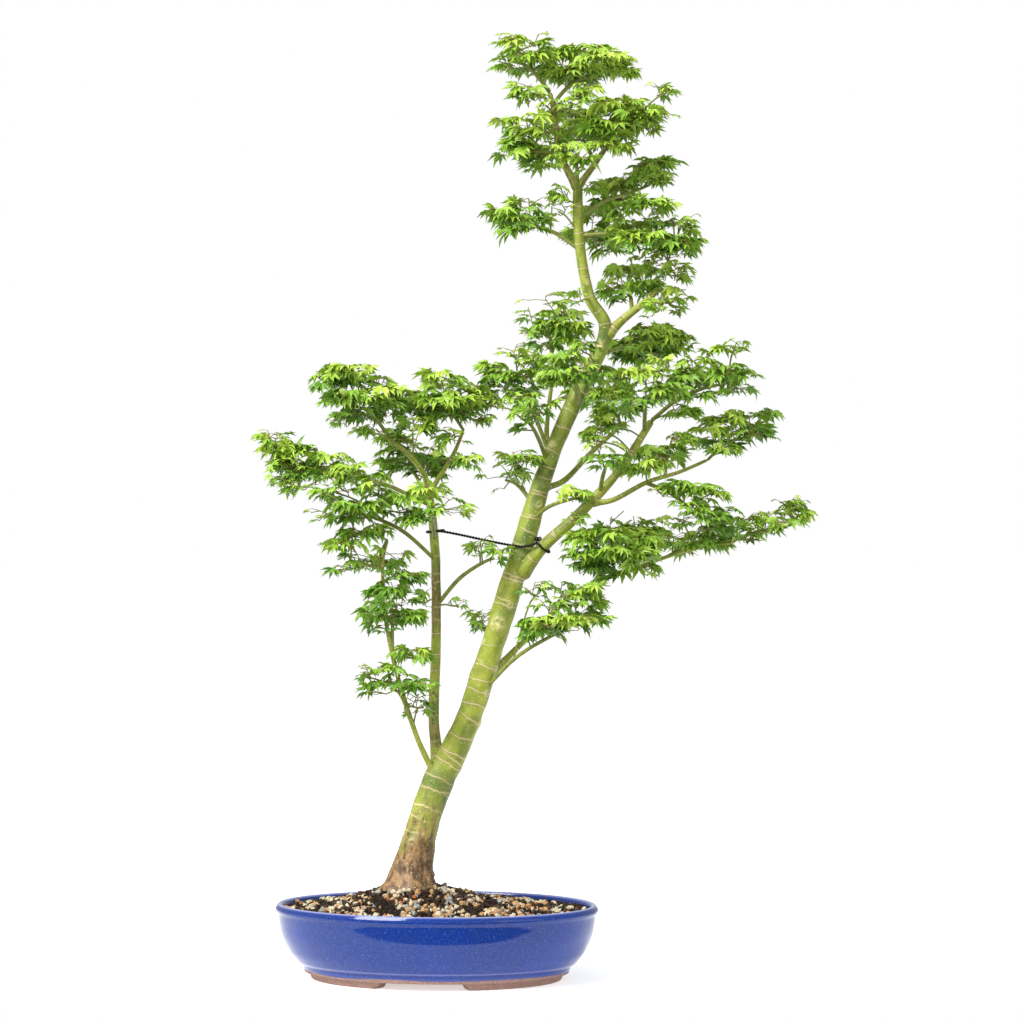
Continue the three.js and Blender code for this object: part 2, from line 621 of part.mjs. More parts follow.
// Points of part of a turn round a limb. It rests on the limb on the side where it bears, and its slack
// hangs clear on the other.
function loopRound({ limb, share, from, turns, bears, slack }) {
  const { curve, radiusAt } = routeOf(LIMBS[limb]);
  const axis = curve.getTangentAt(share);
  const across = new THREE.Vector3(0, -1, 0).cross(axis).normalize();
  const front = axis.clone().cross(across);
  const resting = radiusAt(share) + CLEAR + TIE.radius + TIE.sag;
  const count = Math.round(turns * TIE.stepsPerTurn);
  return Array.from({ length: count + 1 }, (_, i) => {
    const angle = 2 * Math.PI * (from + (turns * i) / count);
    const reach = resting + (slack * (1 - Math.cos(angle - 2 * Math.PI * bears))) / 2;
    return curve.getPointAt(share)
      .addScaledVector(across, reach * Math.cos(angle))
      .addScaledVector(front, reach * Math.sin(angle));
  });
}

function tieSolid() {
  const trunk = routeOf(LIMBS.trunk);
  const front = trunk.curve.getPointAt(TIE.front.share);
  front.y -= trunk.radiusAt(TIE.front.share) + TIE.front.clear + TIE.radius;
  front.z -= TIE.front.droop;
  const points = [...loopRound(TIE.stem), front, ...loopRound(TIE.bough)];
  const bends = points.map((point) => [...point.toArray(), TIE.radius]);
  return solidOf(limbGeometry({ bends, sides: TIE.sides, steps: TIE.steps }));
}

// ---- The whole plant ----

const plant = new THREE.Group();
const { solids, grown } = limbSolids();
const pot = new THREE.Group();
pot.rotation.z = POT.turn;
pot.add(meshOf("pot", geometryOf(potSolid()), LOOKS.glaze));
pot.add(meshOf("soil", soilGeometry(), LOOKS.soil));
plant.add(pot);
for (const [name, solid] of Object.entries(solids)) plant.add(meshOf(name, geometryOf(solid), LOOKS.bark));
const tie = tieSolid();
plant.add(meshOf("training_tie", geometryOf(tie), LOOKS.strap));
massSolids(grown, tie).forEach((solid, i) => {
  plant.add(meshOf(`leaves_${MASSES[i][0]}`, geometryOf(solid), LOOKS.leaf));
});

const box = new THREE.Box3().setFromObject(plant, true);
const middle = box.getCenter(new THREE.Vector3());
plant.position.set(-middle.x, -middle.y, 0);

export default plant;
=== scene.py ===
"""A lion's-head japanese maple, kept as a tall two-stemmed bonsai in an oval cobalt-glazed pot.

The limbs and the masses of foliage have the same sizes and the same seeded rule as the part's own solids,
and are carried on here to bark, fine twigs, leaf stalks and leaves of the real size. Tables of limbs, masses
and the pot are in millimetres, about the middle of the pot, with +Z up and the front towards -Y. Meshes are
in metres in the part's frame.
"""

import logging
import math
from collections.abc import Callable, Iterable
from dataclasses import dataclass, field
from enum import Enum

import bpy
import numpy as np
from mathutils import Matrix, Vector


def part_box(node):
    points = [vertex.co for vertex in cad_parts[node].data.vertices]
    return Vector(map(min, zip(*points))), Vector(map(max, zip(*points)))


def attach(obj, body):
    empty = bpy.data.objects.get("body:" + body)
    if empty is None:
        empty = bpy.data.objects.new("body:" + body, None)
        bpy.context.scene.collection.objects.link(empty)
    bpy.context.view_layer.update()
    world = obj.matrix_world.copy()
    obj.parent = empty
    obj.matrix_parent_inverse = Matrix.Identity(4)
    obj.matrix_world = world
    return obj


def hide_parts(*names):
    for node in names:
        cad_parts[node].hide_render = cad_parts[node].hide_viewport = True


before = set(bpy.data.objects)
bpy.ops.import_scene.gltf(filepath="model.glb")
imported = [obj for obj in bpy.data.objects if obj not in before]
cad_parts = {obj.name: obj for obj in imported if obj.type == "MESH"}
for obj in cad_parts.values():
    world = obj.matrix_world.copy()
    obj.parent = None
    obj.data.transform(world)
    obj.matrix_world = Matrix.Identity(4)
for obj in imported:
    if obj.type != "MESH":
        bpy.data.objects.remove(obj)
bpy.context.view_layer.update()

Array, Rng = np.ndarray, np.random.Generator
Tree, Socket = bpy.types.NodeTree, bpy.types.NodeSocket
Material, Piece = bpy.types.Material, bpy.types.Object
Row, Pair, Triple = tuple[float, ...], tuple[float, float], tuple[float, float, float]
norm = np.linalg.norm
LOG = logging.getLogger("maple")
MM = 0.001
UP = np.array([0.0, 0.0, 1.0])

# [x, y, z, radius] at each bend of a limb, from inside its parent to its end.
LIMBS: dict[str, list[tuple[float, float, float, float]]] = {
    "trunk": [
        (-34, 0, 100, 21.5), (-24, 0, 147, 19.3), (0, 4, 222, 17.6), (14, 6, 250, 17.3), (31, 8, 284, 14.9),
        (68, 4, 394, 13.5), (101, -4, 502, 13.3), (124, -2, 579, 9.7), (158, 4, 663, 10), (190, 10, 727, 8.2),
        (194, 9, 752, 7.6), (176, 4, 784, 6.4), (164, -4, 850, 6), (162, -4, 914, 5.5),
    ],
    "left_stem": [
        (14, 6, 232, 7.6), (3, 14, 253, 6.9), (-3, 20, 290, 6), (-1, 22, 388, 5.7), (-2, 18, 494, 5.3),
        (-9, 15, 560, 4.7),
    ],
    "left_whip": [
        (2, 2, 226, 4), (-22, -14, 278, 3), (-54, -26, 393, 2.4), (-61, -18, 481, 1.9), (-56, -14, 504, 1.7),
    ],
    "right_bough": [
        (98, -7, 464, 8), (120, -18, 494, 6.9), (157, -26, 528, 6.1), (209, -24, 583, 4.6),
        (247, -12, 641, 3.8),
    ],
    "side_bough": [
        (178, -27, 548, 3.4), (199, -34, 549, 2.9), (241, -30, 570, 2.5), (279, -12, 582, 2.1),
        (312, 0, 596, 1.7),
    ],
    "inner_bough": [(124, 2, 565, 3.7), (145, 22, 571, 3.2), (180, 48, 606, 2.9), (214, 64, 637, 2.3)],
    "back_bough": [(130, 4, 604, 3.6), (127, 28, 625, 2.9), (129, 52, 652, 2.5), (134, 76, 692, 2)],
    "front_bough": [(160, 0, 664, 4.4), (162, -24, 672, 3.4), (158, -52, 684, 2.6)],
    "fork_bough": [(193, 9, 741, 5.4), (214, 10, 758, 4.7), (246, 14, 783, 3.6), (256, 14, 794, 3)],
    "lower_bough": [
        (64, 3, 350, 4.6), (84, 20, 370, 3.5), (130, 46, 414, 2.8), (168, 54, 447, 2.6), (235, 34, 473, 2.2),
        (292, 14, 492, 1.9), (338, 2, 500, 1.6),
    ],
    "crown_left": [
        (160, -4, 915, 4.8), (150, -9, 930, 4.2), (141, -12, 948, 3.7), (136, -11, 990, 3.1),
        (130, -6, 1018, 2.8),
    ],
    "crown_right": [(165, -3, 915, 3.9), (175, 5, 927, 3.5), (185, 10, 941, 3), (195, 12, 955, 2.6)],
    "stem_left_top": [(-11, 14, 561, 3.7), (-14, 8, 578, 3.2), (-35, -8, 605, 2.6), (-51, -16, 616, 2.2)],
    "stem_right_top": [(-6, 16, 561, 3.2), (1, 16, 574, 2.7), (18, 9, 600, 2.3), (31, 3, 630, 1.8)],
}

# Masses of foliage: name, limb, share of its length where the mass's stem springs, middle, reach, rise.
MASSES: list[tuple[str, str, float, Row, Row, float]] = [
    ("crown_top_left", "crown_left", 1, (97, -14, 1059), (39, 36, 26), 0),
    ("crown_top_right", "crown_left", 0.86, (170, 16, 1047), (60, 50, 30), 0),
    ("crown_right", "crown_right", 1, (214, -16, 984), (61, 48, 32), 0.05),
    ("crown_low_left", "crown_left", 0.3, (110, -20, 959), (47, 42, 39), 0),
    ("crown_low_front", "trunk", 0.97, (160, -62, 936), (32, 34, 23), 0),
    ("crown_back", "crown_right", 0.55, (168, 74, 982), (46, 40, 34), 0),
    ("leader_right_upper", "trunk", 0.95, (229, 40, 916), (67, 42, 27), 0.42),
    ("leader_left", "trunk", 0.91, (102, 6, 876), (48, 38, 25), 0),
    ("leader_right", "trunk", 0.93, (250, -30, 851), (60, 52, 42), -0.1),
    ("leader_back", "trunk", 0.92, (190, 84, 862), (42, 42, 32), 0),
    ("fork_inner", "fork_bough", 0.5, (224, 50, 799), (42, 40, 28), 0.1),
    ("fork_right", "fork_bough", 1, (272, 0, 776), (30, 30, 20), 0),
    ("back_left", "back_bough", 1, (132, 101, 756), (46, 54, 39), 0),
    ("left_upper", "trunk", 0.61, (92, 6, 694), (45, 46, 30), 0),
    ("front_upper", "front_bough", 1, (155, -86, 691), (38, 40, 25), 0),
    ("left_lower", "trunk", 0.6, (105, -46, 649), (33, 38, 30), 0),
    ("middle_back", "back_bough", 0.7, (190, 128, 680), (46, 44, 36), 0),
    ("right_back", "trunk", 0.76, (247, 80, 730), (52, 50, 27), 0),
    ("right_outer", "right_bough", 1, (313, -2, 692), (54, 46, 40), 0.1),
    ("right_front", "right_bough", 0.93, (238, -66, 674), (43, 46, 28), 0),
    ("inner_right", "inner_bough", 1, (208, 76, 657), (34, 34, 22), 0),
    ("right_far", "side_bough", 1, (345, 10, 627), (52, 36, 24), 0.15),
    ("right_under", "side_bough", 0.62, (267, 50, 607), (44, 38, 21), 0.15),
    ("left_small", "trunk", 0.54, (87, 30, 579), (32, 32, 25), 0),
    ("front_sprig", "right_bough", 0.56, (194, -72, 596), (33, 30, 19), 0),
    ("fork_sprig", "trunk", 0.52, (152, -46, 555), (24, 22, 14), 0),
    ("right_hanging", "side_bough", 0.45, (303, -62, 537), (48, 34, 35), -0.3),
    ("low_tip", "lower_bough", 1, (391, 2, 522), (47, 28, 20), 0.25),
    ("low_right", "lower_bough", 0.77, (303, 26, 502), (44, 38, 23), 0.1),
    ("low_middle", "lower_bough", 0.51, (203, -26, 490), (62, 52, 34), 0.1),
    ("low_back", "lower_bough", 0.5, (222, 96, 512), (52, 42, 28), 0),
    ("low_front", "trunk", 0.27, (150, -46, 416), (66, 40, 32), 0.45),
    ("stem_top_right", "stem_right_top", 1, (12, -2, 662), (57, 50, 33), 0),
    ("stem_top_left", "stem_left_top", 1, (-83, -24, 666), (58, 50, 37), -0.1),
    ("stem_far_left", "left_stem", 0.95, (-148, 20, 589), (62, 38, 28), -0.15),
    ("stem_back", "left_stem", 0.9, (-30, 78, 596), (52, 44, 36), 0),
    ("stem_mid_left", "left_stem", 0.76, (-88, -46, 549), (48, 44, 42), 0),
    ("stem_mid_front", "left_stem", 0.83, (-5, -44, 541), (42, 36, 26), 0),
    ("whip_top", "left_whip", 1, (-70, -22, 477), (63, 34, 22), -0.3),
    ("whip_low", "left_whip", 0.54, (-51, -26, 422), (46, 40, 29), 0),
    ("whip_foot", "left_whip", 0.28, (-44, -44, 341), (46, 30, 25), 0),
    ("stem_sprig", "left_stem", 0.6, (59, -28, 488), (24, 20, 18), 0),
    ("trunk_sprig", "trunk", 0.35, (50, 34, 408), (22, 20, 13), 0),
]

# Small sprays between the masses: what they spring from, share of its length, middle, reach.
SPRIGS: list[tuple[str, float, Row, Row]] = [
    ("crown_left", 0.96, (106, -30, 1013), (21, 19, 14)),
    ("crown_left", 0.84, (164, -34, 1011), (23, 18, 11)),
    ("leaves_crown_top_left", 1, (114, -6, 1076), (15, 14, 9)),
    ("crown_right", 0.94, (215, -20, 953), (20, 15, 10)),
    ("leaves_crown_right", 1, (259, -10, 1019), (16, 14, 9)),
    ("crown_left", 0.18, (119, -24, 932), (21, 16, 10)), ("trunk", 0.97, (145, -14, 898), (14, 14, 16)),
    ("trunk", 0.99, (180, -10, 907), (13, 14, 12)),
    ("leaves_leader_right", 1, (260, -26, 815), (30, 23, 14)),
    ("trunk", 0.84, (161, -30, 779), (13, 14, 13)), ("trunk", 0.75, (169, -34, 721), (17, 14, 9)),
    ("leaves_stem_far_left", 1, (-190, 14, 621), (24, 20, 9)),
    ("leaves_stem_far_left", 0.9, (-176, 8, 573), (16, 14, 9)),
    ("stem_left_top", 1, (-71, -34, 629), (23, 18, 10)),
    ("stem_right_top", 0.9, (18, -20, 623), (18, 14, 16)),
    ("leaves_left_lower", 1, (67, -10, 660), (12, 14, 10)), ("left_whip", 1, (-80, -34, 513), (32, 25, 12)),
    ("leaves_stem_mid_left", 0.6, (-108, -30, 561), (15, 14, 13)),
    ("leaves_left_small", 1, (98, -20, 598), (21, 16, 10)),
    ("right_bough", 0.81, (190, -50, 633), (16, 14, 14)), ("right_bough", 1, (278, -40, 649), (21, 16, 12)),
    ("side_bough", 0.46, (238, -46, 586), (28, 22, 9)),
    ("leaves_stem_sprig", 0.8, (50, -28, 495), (15, 14, 15)),
    ("left_whip", 0.8, (-50, -30, 447), (23, 18, 13)), ("left_stem", 0.62, (-14, -10, 435), (12, 14, 14)),
    ("left_whip", 0.53, (-28, -40, 372), (21, 16, 9)),
    ("leaves_whip_foot", 0.8, (-79, -44, 352), (10, 14, 10)),
    ("left_whip", 0.33, (-21, -20, 316), (17, 15, 16)),
    ("leaves_low_front", 0.4, (112, -30, 447), (20, 16, 12)),
    ("leaves_low_front", 0.7, (129, -40, 429), (17, 14, 9)),
    ("lower_bough", 1, (352, -8, 519), (18, 14, 14)), ("lower_bough", 0.87, (284, -10, 525), (12, 14, 9)),
    ("right_bough", 0.36, (158, -50, 526), (10, 14, 9)), ("side_bough", 1, (329, -20, 607), (16, 14, 9)),
    ("left_stem", 0.6, (21, 8, 430), (12, 14, 9)), ("side_bough", 0.47, (256, -50, 559), (10, 14, 9)),
    ("stem_left_top", 0.55, (-27, -20, 633), (26, 18, 12)),
    ("leaves_leader_right", 1, (270, -40, 868), (22, 18, 10)),
    ("leaves_leader_right", 0.9, (268, -20, 806), (20, 14, 9)),
    ("crown_left", 0.7, (124, -46, 1002), (16, 14, 10)), ("crown_left", 0.75, (152, -42, 998), (18, 14, 9)),
    ("crown_right", 0.6, (192, -34, 953), (20, 15, 10)),
    ("leaves_fork_right", 0.5, (252, -30, 766), (18, 14, 10)),
    ("leaves_right_outer", 1, (340, -12, 724), (24, 18, 9)),
    ("leaves_stem_mid_left", 1, (-130, -44, 532), (14, 14, 10)),
    ("right_bough", 0.9, (205, -44, 634), (18, 15, 10)),
    ("stem_right_top", 0.5, (36, -16, 590), (14, 14, 12)),
    ("lower_bough", 0.56, (203, 30, 463), (20, 15, 9)), ("lower_bough", 0.66, (237, 20, 467), (20, 15, 9)),
    ("lower_bough", 0.34, (145, 20, 446), (20, 15, 11)), ("lower_bough", 0.9, (363, -4, 527), (17, 14, 10)),
    ("lower_bough", 0.94, (358, -6, 507), (16, 14, 9)), ("leaves_low_tip", 1, (406, 0, 546), (18, 13, 7)),
    ("trunk", 0.93, (144, -14, 883), (12, 12, 12)),
    ("leaves_leader_right", 0.8, (233, -20, 827), (22, 14, 8)),
    ("leaves_leader_right", 1, (281, -20, 867), (20, 16, 9)),
    ("leaves_leader_right", 0.8, (277, -16, 805), (14, 14, 8)),
    ("leaves_right_outer", 0.6, (257, -50, 697), (18, 14, 16)),
    ("leaves_stem_far_left", 0.6, (-156, -24, 565), (26, 14, 7)),
    ("leaves_stem_far_left", 0.8, (-102, -40, 561), (16, 14, 9)),
    ("leaves_stem_mid_left", 0.8, (-35, -36, 538), (24, 14, 9)),
    ("leaves_stem_mid_left", 0.9, (-99, -20, 472), (24, 14, 8)),
    ("left_whip", 0.25, (-21, -18, 316), (14, 12, 13)),
    ("leaves_stem_top_right", 0.8, (48, -10, 642), (17, 14, 10)),
    ("leaves_stem_top_left", 0.8, (-115, -20, 637), (12, 12, 9)),
    ("right_bough", 0.8, (185, -46, 620), (16, 14, 11)),
    ("leaves_left_upper", 0.8, (90, -14, 719), (16, 14, 10)),
]

# Openings in the foliage, seen from the front: x, z, half width, half height.
OPENINGS = np.array([
    (208, 1034, 24, 10), (285, 927, 16, 16), (246, 913, 15, 8), (286, 887, 14, 9), (263, 981, 10, 12),
    (69, 952, 11, 9), (84, 989, 14, 6), (118, 783, 26, 11), (97, 749, 14, 15), (73, 713, 16, 8),
    (291, 789, 16, 10), (295, 765, 10, 9), (-140, 668, 15, 9), (-30, 688, 22, 7), (21, 538, 16, 10),
    (67, 573, 18, 10), (29, 402, 9, 11), (171, 398, 26, 9), (202, 446, 13, 13), (225, 535, 44, 9),
    (145, 481, 9, 9), (257, 619, 18, 6), (-65, 325, 20, 9), (-48, 486, 15, 6), (-117, 484, 12, 9),
    (-94, 431, 12, 8), (-134, 546, 12, 9), (314, 490, 20, 7), (358, 690, 12, 10), (-21, 576, 10, 8),
    (-205, 593, 11, 11), (416, 515, 10, 8), (-85, 485, 20, 7),
], float)

# The turn from one place to the next on a sunflower spiral.
GOLDEN_ANGLE = math.pi * (3 - math.sqrt(5))


# ---- Places and numbers ----


def pot_middle() -> Array:
    """The middle of the pot in the part's frame, in millimetres, at the height of its feet."""
    low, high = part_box("pot")
    return np.array([(low.x + high.x) / 2, (low.y + high.y) / 2, 0.0]) / MM


POT_MIDDLE = pot_middle()


def in_frame(points: Array) -> Array:
    """Millimetres about the pot's middle as metres in the part's frame."""
    return (points + POT_MIDDLE) * MM


def unit(vectors: Array) -> Array:
    """Vectors of any shape (..., 3) at length 1."""
    return vectors / np.maximum(norm(vectors, axis=-1, keepdims=True), 1e-9)


def turned(vectors: Array, angle: Array | float) -> Array:
    """Vectors turned about +Z by an angle in radians."""
    c, s = np.cos(angle), np.sin(angle)
    x, y = vectors[..., 0], vectors[..., 1]
    return np.stack([c * x - s * y, s * x + c * y, vectors[..., 2] + 0 * x], axis=-1)


def random_from(seed: int) -> Callable[[], float]:
    """A repeatable stream of numbers from 0 to 1 (mulberry32), the same as the part's own.

    Args:
        seed: where the stream starts.

    Returns:
        A function that gives the next number.
    """
    state, word = seed, 0xFFFFFFFF

    def following() -> float:
        """The next number of the stream."""
        nonlocal state
        state = (state + 0x6D2B79F5) & word
        mixed = ((state ^ (state >> 15)) * (1 | state)) & word
        mixed = ((mixed + (mixed ^ (mixed >> 7)) * (61 | mixed)) ^ mixed) & word
        return (mixed ^ (mixed >> 14)) / 4294967296

    return following


class Wander:
    """Smooth noise over a limb's side: a sum of sine waves with random directions and phases."""

    def __init__(self, seed: int, waves: int = 14) -> None:
        """Draws the waves.

        Args:
            seed: of the draw.
            waves: how many are added.
        """
        rng = np.random.default_rng(seed)
        self.turns = rng.integers(1, 7, waves)
        self.along = rng.normal(0, 1, waves)
        self.phase = rng.uniform(0, 2 * math.pi, waves)

    def __call__(self, angle: Array, way: Array, busy: float, pitch: float) -> Array:
        """The noise, about -1 to 1.

        Args:
            angle: round the limb, in radians.
            way: along the limb, in millimetres.
            busy: how many times finer than a few waves round the limb it is.
            pitch: millimetres along the limb for one wave.

        Returns:
            sum of sin(busy * turns * angle + along * way / pitch + phase), scaled to a spread of 1.
        """
        turns = np.round(self.turns * busy)
        waves = np.sin(
            turns * angle[..., None] + 2 * math.pi * self.along * way[..., None] / pitch + self.phase
        )
        return waves.sum(-1) / math.sqrt(len(self.phase) / 2)


class Route:
    """A smooth line through bends (a centripetal Catmull-Rom curve) with a radius at each point of it."""

    FINE = 400

    def __init__(self, bends: Iterable[Iterable[float]]) -> None:
        """Works the line out.

        Args:
            bends: [x, y, z, radius] in millimetres, from one end to the other.
        """
        table = np.array([list(bend) for bend in bends], float)
        inner, radii = table[:, :3], table[:, 3]
        ends = 2 * inner[[0, -1]] - inner[[1, -2]]
        points = np.vstack([ends[:1], inner, ends[1:]])
        gaps = np.sqrt(norm(np.diff(points, axis=0), axis=1))[:, None]
        place = np.linspace(0, len(inner) - 1, self.FINE + 1)
        i = np.minimum(place.astype(int), len(inner) - 2)
        t = (place - i)[:, None]
        p0, p1, p2, p3 = points[i], points[i + 1], points[i + 2], points[i + 3]
        a, b, c = gaps[i], gaps[i + 1], gaps[i + 2]
        out = ((p1 - p0) / a - (p2 - p0) / (a + b) + (p2 - p1) / b) * b
        into = ((p2 - p1) / b - (p3 - p1) / (b + c) + (p3 - p2) / c) * b
        self.line = p1 + t * (out + t * (3 * (p2 - p1) - 2 * out - into + t * (2 * (p1 - p2) + out + into)))
        self.radii = np.interp(place, np.arange(len(inner)), radii)
        ways = np.r_[0, np.cumsum(norm(np.diff(self.line, axis=0), axis=1))]
        self.length = float(ways[-1])
        self.shares = ways / self.length

    def at(self, share: Array | float) -> Array:
        """The point or points at a share of the length."""
        return np.stack([np.interp(share, self.shares, self.line[:, k]) for k in range(3)], axis=-1)

    def radius(self, share: Array | float) -> Array:
        """The radius at a share of the length."""
        return np.interp(share, self.shares, self.radii)


ROUTES = {name: Route(bends) for name, bends in LIMBS.items()}


# ---- Meshes ----


@dataclass
class Shell:
    """Surfaces on their way to a mesh: corners, faces of four and three, a tint a face, values a corner."""

    corners: Array
    quads: Array = field(default_factory=lambda: np.zeros((0, 4), int))
    tris: Array = field(default_factory=lambda: np.zeros((0, 3), int))
    quad_tints: Array | None = None
    tri_tints: Array | None = None
    values: dict[str, Array] = field(default_factory=dict)

    def tint(self, index: int) -> "Shell":
        """The same surfaces, all of the material with that index."""
        self.quad_tints = np.full(len(self.quads), index)
        self.tri_tints = np.full(len(self.tris), index)
        return self

    @staticmethod
    def join(shells: list["Shell"]) -> "Shell":
        """Several shells as one, with the corners of each numbered after those before it."""
        starts = np.cumsum([0] + [len(s.corners) for s in shells[:-1]])

        def tints(shell: Shell, kind: str) -> Array:
            """The tints of a shell's faces, 0 where it has none."""
            given = getattr(shell, kind + "_tints")
            return np.zeros(len(getattr(shell, kind + "s")), int) if given is None else given

        names = {name for shell in shells for name in shell.values}
        return Shell(
            np.vstack([s.corners for s in shells]),
            np.vstack([s.quads + start for s, start in zip(shells, starts)]),
            np.vstack([s.tris + start for s, start in zip(shells, starts)]),
            np.concatenate([tints(s, "quad") for s in shells]),
            np.concatenate([tints(s, "tri") for s in shells]),
            {n: np.concatenate([s.values.get(n, np.zeros(len(s.corners))) for s in shells]) for n in names},
        )

    def build(self, name: str, materials: list[Material], smooth: bool) -> Piece:
        """Makes the mesh and its object, at the origin, and lets it ride on the part's one body.

        Args:
            name: of the piece.
            materials: its slots, which the tints count.
            smooth: whether its faces shade into each other.

        Returns:
            The piece.
        """
        mesh = bpy.data.meshes.new(name)
        mesh.vertices.add(len(self.corners))
        mesh.vertices.foreach_set("co", self.corners.astype(np.float32).ravel())
        loops = np.concatenate([self.quads.ravel(), self.tris.ravel()])
        mesh.loops.add(len(loops))
        mesh.loops.foreach_set("vertex_index", loops.astype(np.int32))
        sizes = np.r_[np.full(len(self.quads), 4), np.full(len(self.tris), 3)]
        mesh.polygons.add(len(sizes))
        starts = np.r_[0, np.cumsum(sizes)[:-1]]
        mesh.polygons.foreach_set("loop_start", starts.astype(np.int32))
        tints = Shell.join([self])
        slots = np.concatenate([tints.quad_tints, tints.tri_tints])
        mesh.polygons.foreach_set("material_index", slots.astype(np.int32))
        mesh.polygons.foreach_set("use_smooth", np.full(len(sizes), smooth))
        for material in materials:
            mesh.materials.append(material)
        mesh.update(calc_edges=True)
        for key, value in self.values.items():
            layer = mesh.attributes.new(key, "FLOAT", "POINT")
            layer.data.foreach_set("value", value.astype(np.float32))
        piece = placed(name, mesh)
        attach(piece, "root")
        LOG.info("%s: %d triangles", name, 2 * len(self.quads) + len(self.tris))
        return piece


def placed(name: str, data: bpy.types.ID) -> Piece:
    """A new object with that data, in the scene."""
    piece = bpy.data.objects.new(name, data)
    bpy.context.scene.collection.objects.link(piece)
    return piece


def frames_of(lines: Array) -> tuple[Array, Array]:
    """Two directions square to each line at each of its points, which don't twist on a gentle curve.

    Args:
        lines: (lines, points, 3).

    Returns:
        across and front, of the same shape. across x front runs along the line.
    """
    along = unit(np.gradient(lines, axis=1))
    overall = np.abs(lines[:, -1] - lines[:, 0])
    square = np.eye(3)[np.argmin(overall, axis=1)][:, None, :]
    across = unit(np.cross(square, along))
    return across, np.cross(along, across)


def skin(rows: int, sides: int) -> tuple[Array, Array]:
    """The faces of a body made of rings of corners, one after another, and a point at each end.

    Args:
        rows: of corners, each a closed ring.
        sides: corners in a ring.

    Returns:
        Faces of four between the rings, and faces of three round the two points, which are numbered last.
    """
    side = np.arange(sides)
    after = (side + 1) % sides
    row = sides * np.arange(rows - 1)[:, None]
    quads = np.stack([row + side, row + after, row + sides + after, row + sides + side], axis=-1)
    first, top = rows * sides, (rows - 1) * sides
    caps = np.vstack([
        np.stack([np.full(sides, first), after, side], axis=-1),
        np.stack([np.full(sides, first + 1), top + side, top + after], axis=-1),
    ])
    return quads.reshape(-1, 4), caps


def tubes(lines: Array, radii: Array, sides: int) -> Shell:
    """Round tubes along lines, closed by a point at each end.

    A tube's side is line + radius * (cos(angle) * across + sin(angle) * front).

    Args:
        lines: (tubes, points, 3).
        radii: (tubes, points) or (tubes, points, sides).
        sides: round each tube.

    Returns:
        All the tubes as one shell. Its corners run side by side, point by point, tube by tube.
    """
    count, points = lines.shape[:2]
    across, front = frames_of(lines)
    angle = 2 * math.pi * np.arange(sides) / sides
    reach = radii[..., None] if radii.ndim == 2 else radii
    ring = (
        lines[:, :, None]
        + (reach * np.cos(angle))[..., None] * across[:, :, None]
        + (reach * np.sin(angle))[..., None] * front[:, :, None]
    )
    corners = np.concatenate([ring.reshape(count, -1, 3), lines[:, :1], lines[:, -1:]], axis=1)
    quads, caps = skin(points, sides)
    start = (np.arange(count) * (points * sides + 2))[:, None, None]
    return Shell(
        corners.reshape(-1, 3),
        (quads[None] + start).reshape(-1, 4),
        (caps[None] + start).reshape(-1, 3),
    )


def revolved(outline: Array, wide: float, deep: float, segments: int) -> Shell:
    """An outline turned into an oval body, from its first point on the axis to its last one.

    A corner is (share * wide * cos(angle), share * deep * sin(angle), z), in millimetres.

    Args:
        outline: [share, z] rows whose first and last share is 0, counted so that its faces point out.
        wide, deep: half the oval's length and half its width.
        segments: round the oval.

    Returns:
        The closed shell.
    """
    angle = 2 * math.pi * np.arange(segments) / segments
    share, z = outline[1:-1, 0][:, None], outline[1:-1, 1][:, None]
    ring = np.stack([share * wide * np.cos(angle), share * deep * np.sin(angle), z + 0 * angle], axis=-1)
    poles = np.array([[0, 0, outline[0, 1]], [0, 0, outline[-1, 1]]])
    return Shell(np.vstack([ring.reshape(-1, 3), poles]), *skin(len(ring), segments))


def copies(template: Shell, places: Array, turns: Array, sizes: Array) -> Shell:
    """Copies of one shell, each turned, sized and set down.

    Args:
        template: the shell, about its own origin.
        places: (copies, 3).
        turns: (copies, 3, 3), whose columns are where x, y and z go.
        sizes: (copies,) or (copies, 3).

    Returns:
        All the copies as one shell.
    """
    sizes = sizes[:, None] if sizes.ndim == 1 else sizes
    local = template.corners[None] * sizes[:, None]
    corners = np.einsum("nij,nvj->nvi", turns, local) + places[:, None]
    start = (np.arange(len(places)) * len(template.corners))[:, None, None]
    return Shell(
        corners.reshape(-1, 3),
        (template.quads[None] + start).reshape(-1, 4),
        (template.tris[None] + start).reshape(-1, 3),
    )


# ---- Materials ----


def linear(hex_code: str) -> tuple[float, float, float, float]:
    """An sRGB colour such as "#1f47b0" as linear red, green, blue and alpha."""
    parts = [int(hex_code[i : i + 2], 16) / 255 for i in (1, 3, 5)]
    red, green, blue = (c / 12.92 if c <= 0.04045 else ((c + 0.055) / 1.055) ** 2.4 for c in parts)
    return red, green, blue, 1.0


def add(tree: Tree, kind: str, settings: dict | None = None, links: dict | None = None) -> bpy.types.Node:
    """Adds a node.

    Args:
        tree: the material's or the world's node tree.
        kind: the node's type, as it goes on after ShaderNode.
        settings: its properties by name, and its inputs by name or number.
        links: sockets by the name or number of the input that they go to.

    Returns:
        The node.
    """
    node = tree.nodes.new("ShaderNode" + kind)
    for key, value in (settings or {}).items():
        if isinstance(key, str) and key in node.bl_rna.properties:
            setattr(node, key, value)
        else:
            node.inputs[key].default_value = value
    for key, source in (links or {}).items():
        tree.links.new(source, node.inputs[key])
    return node


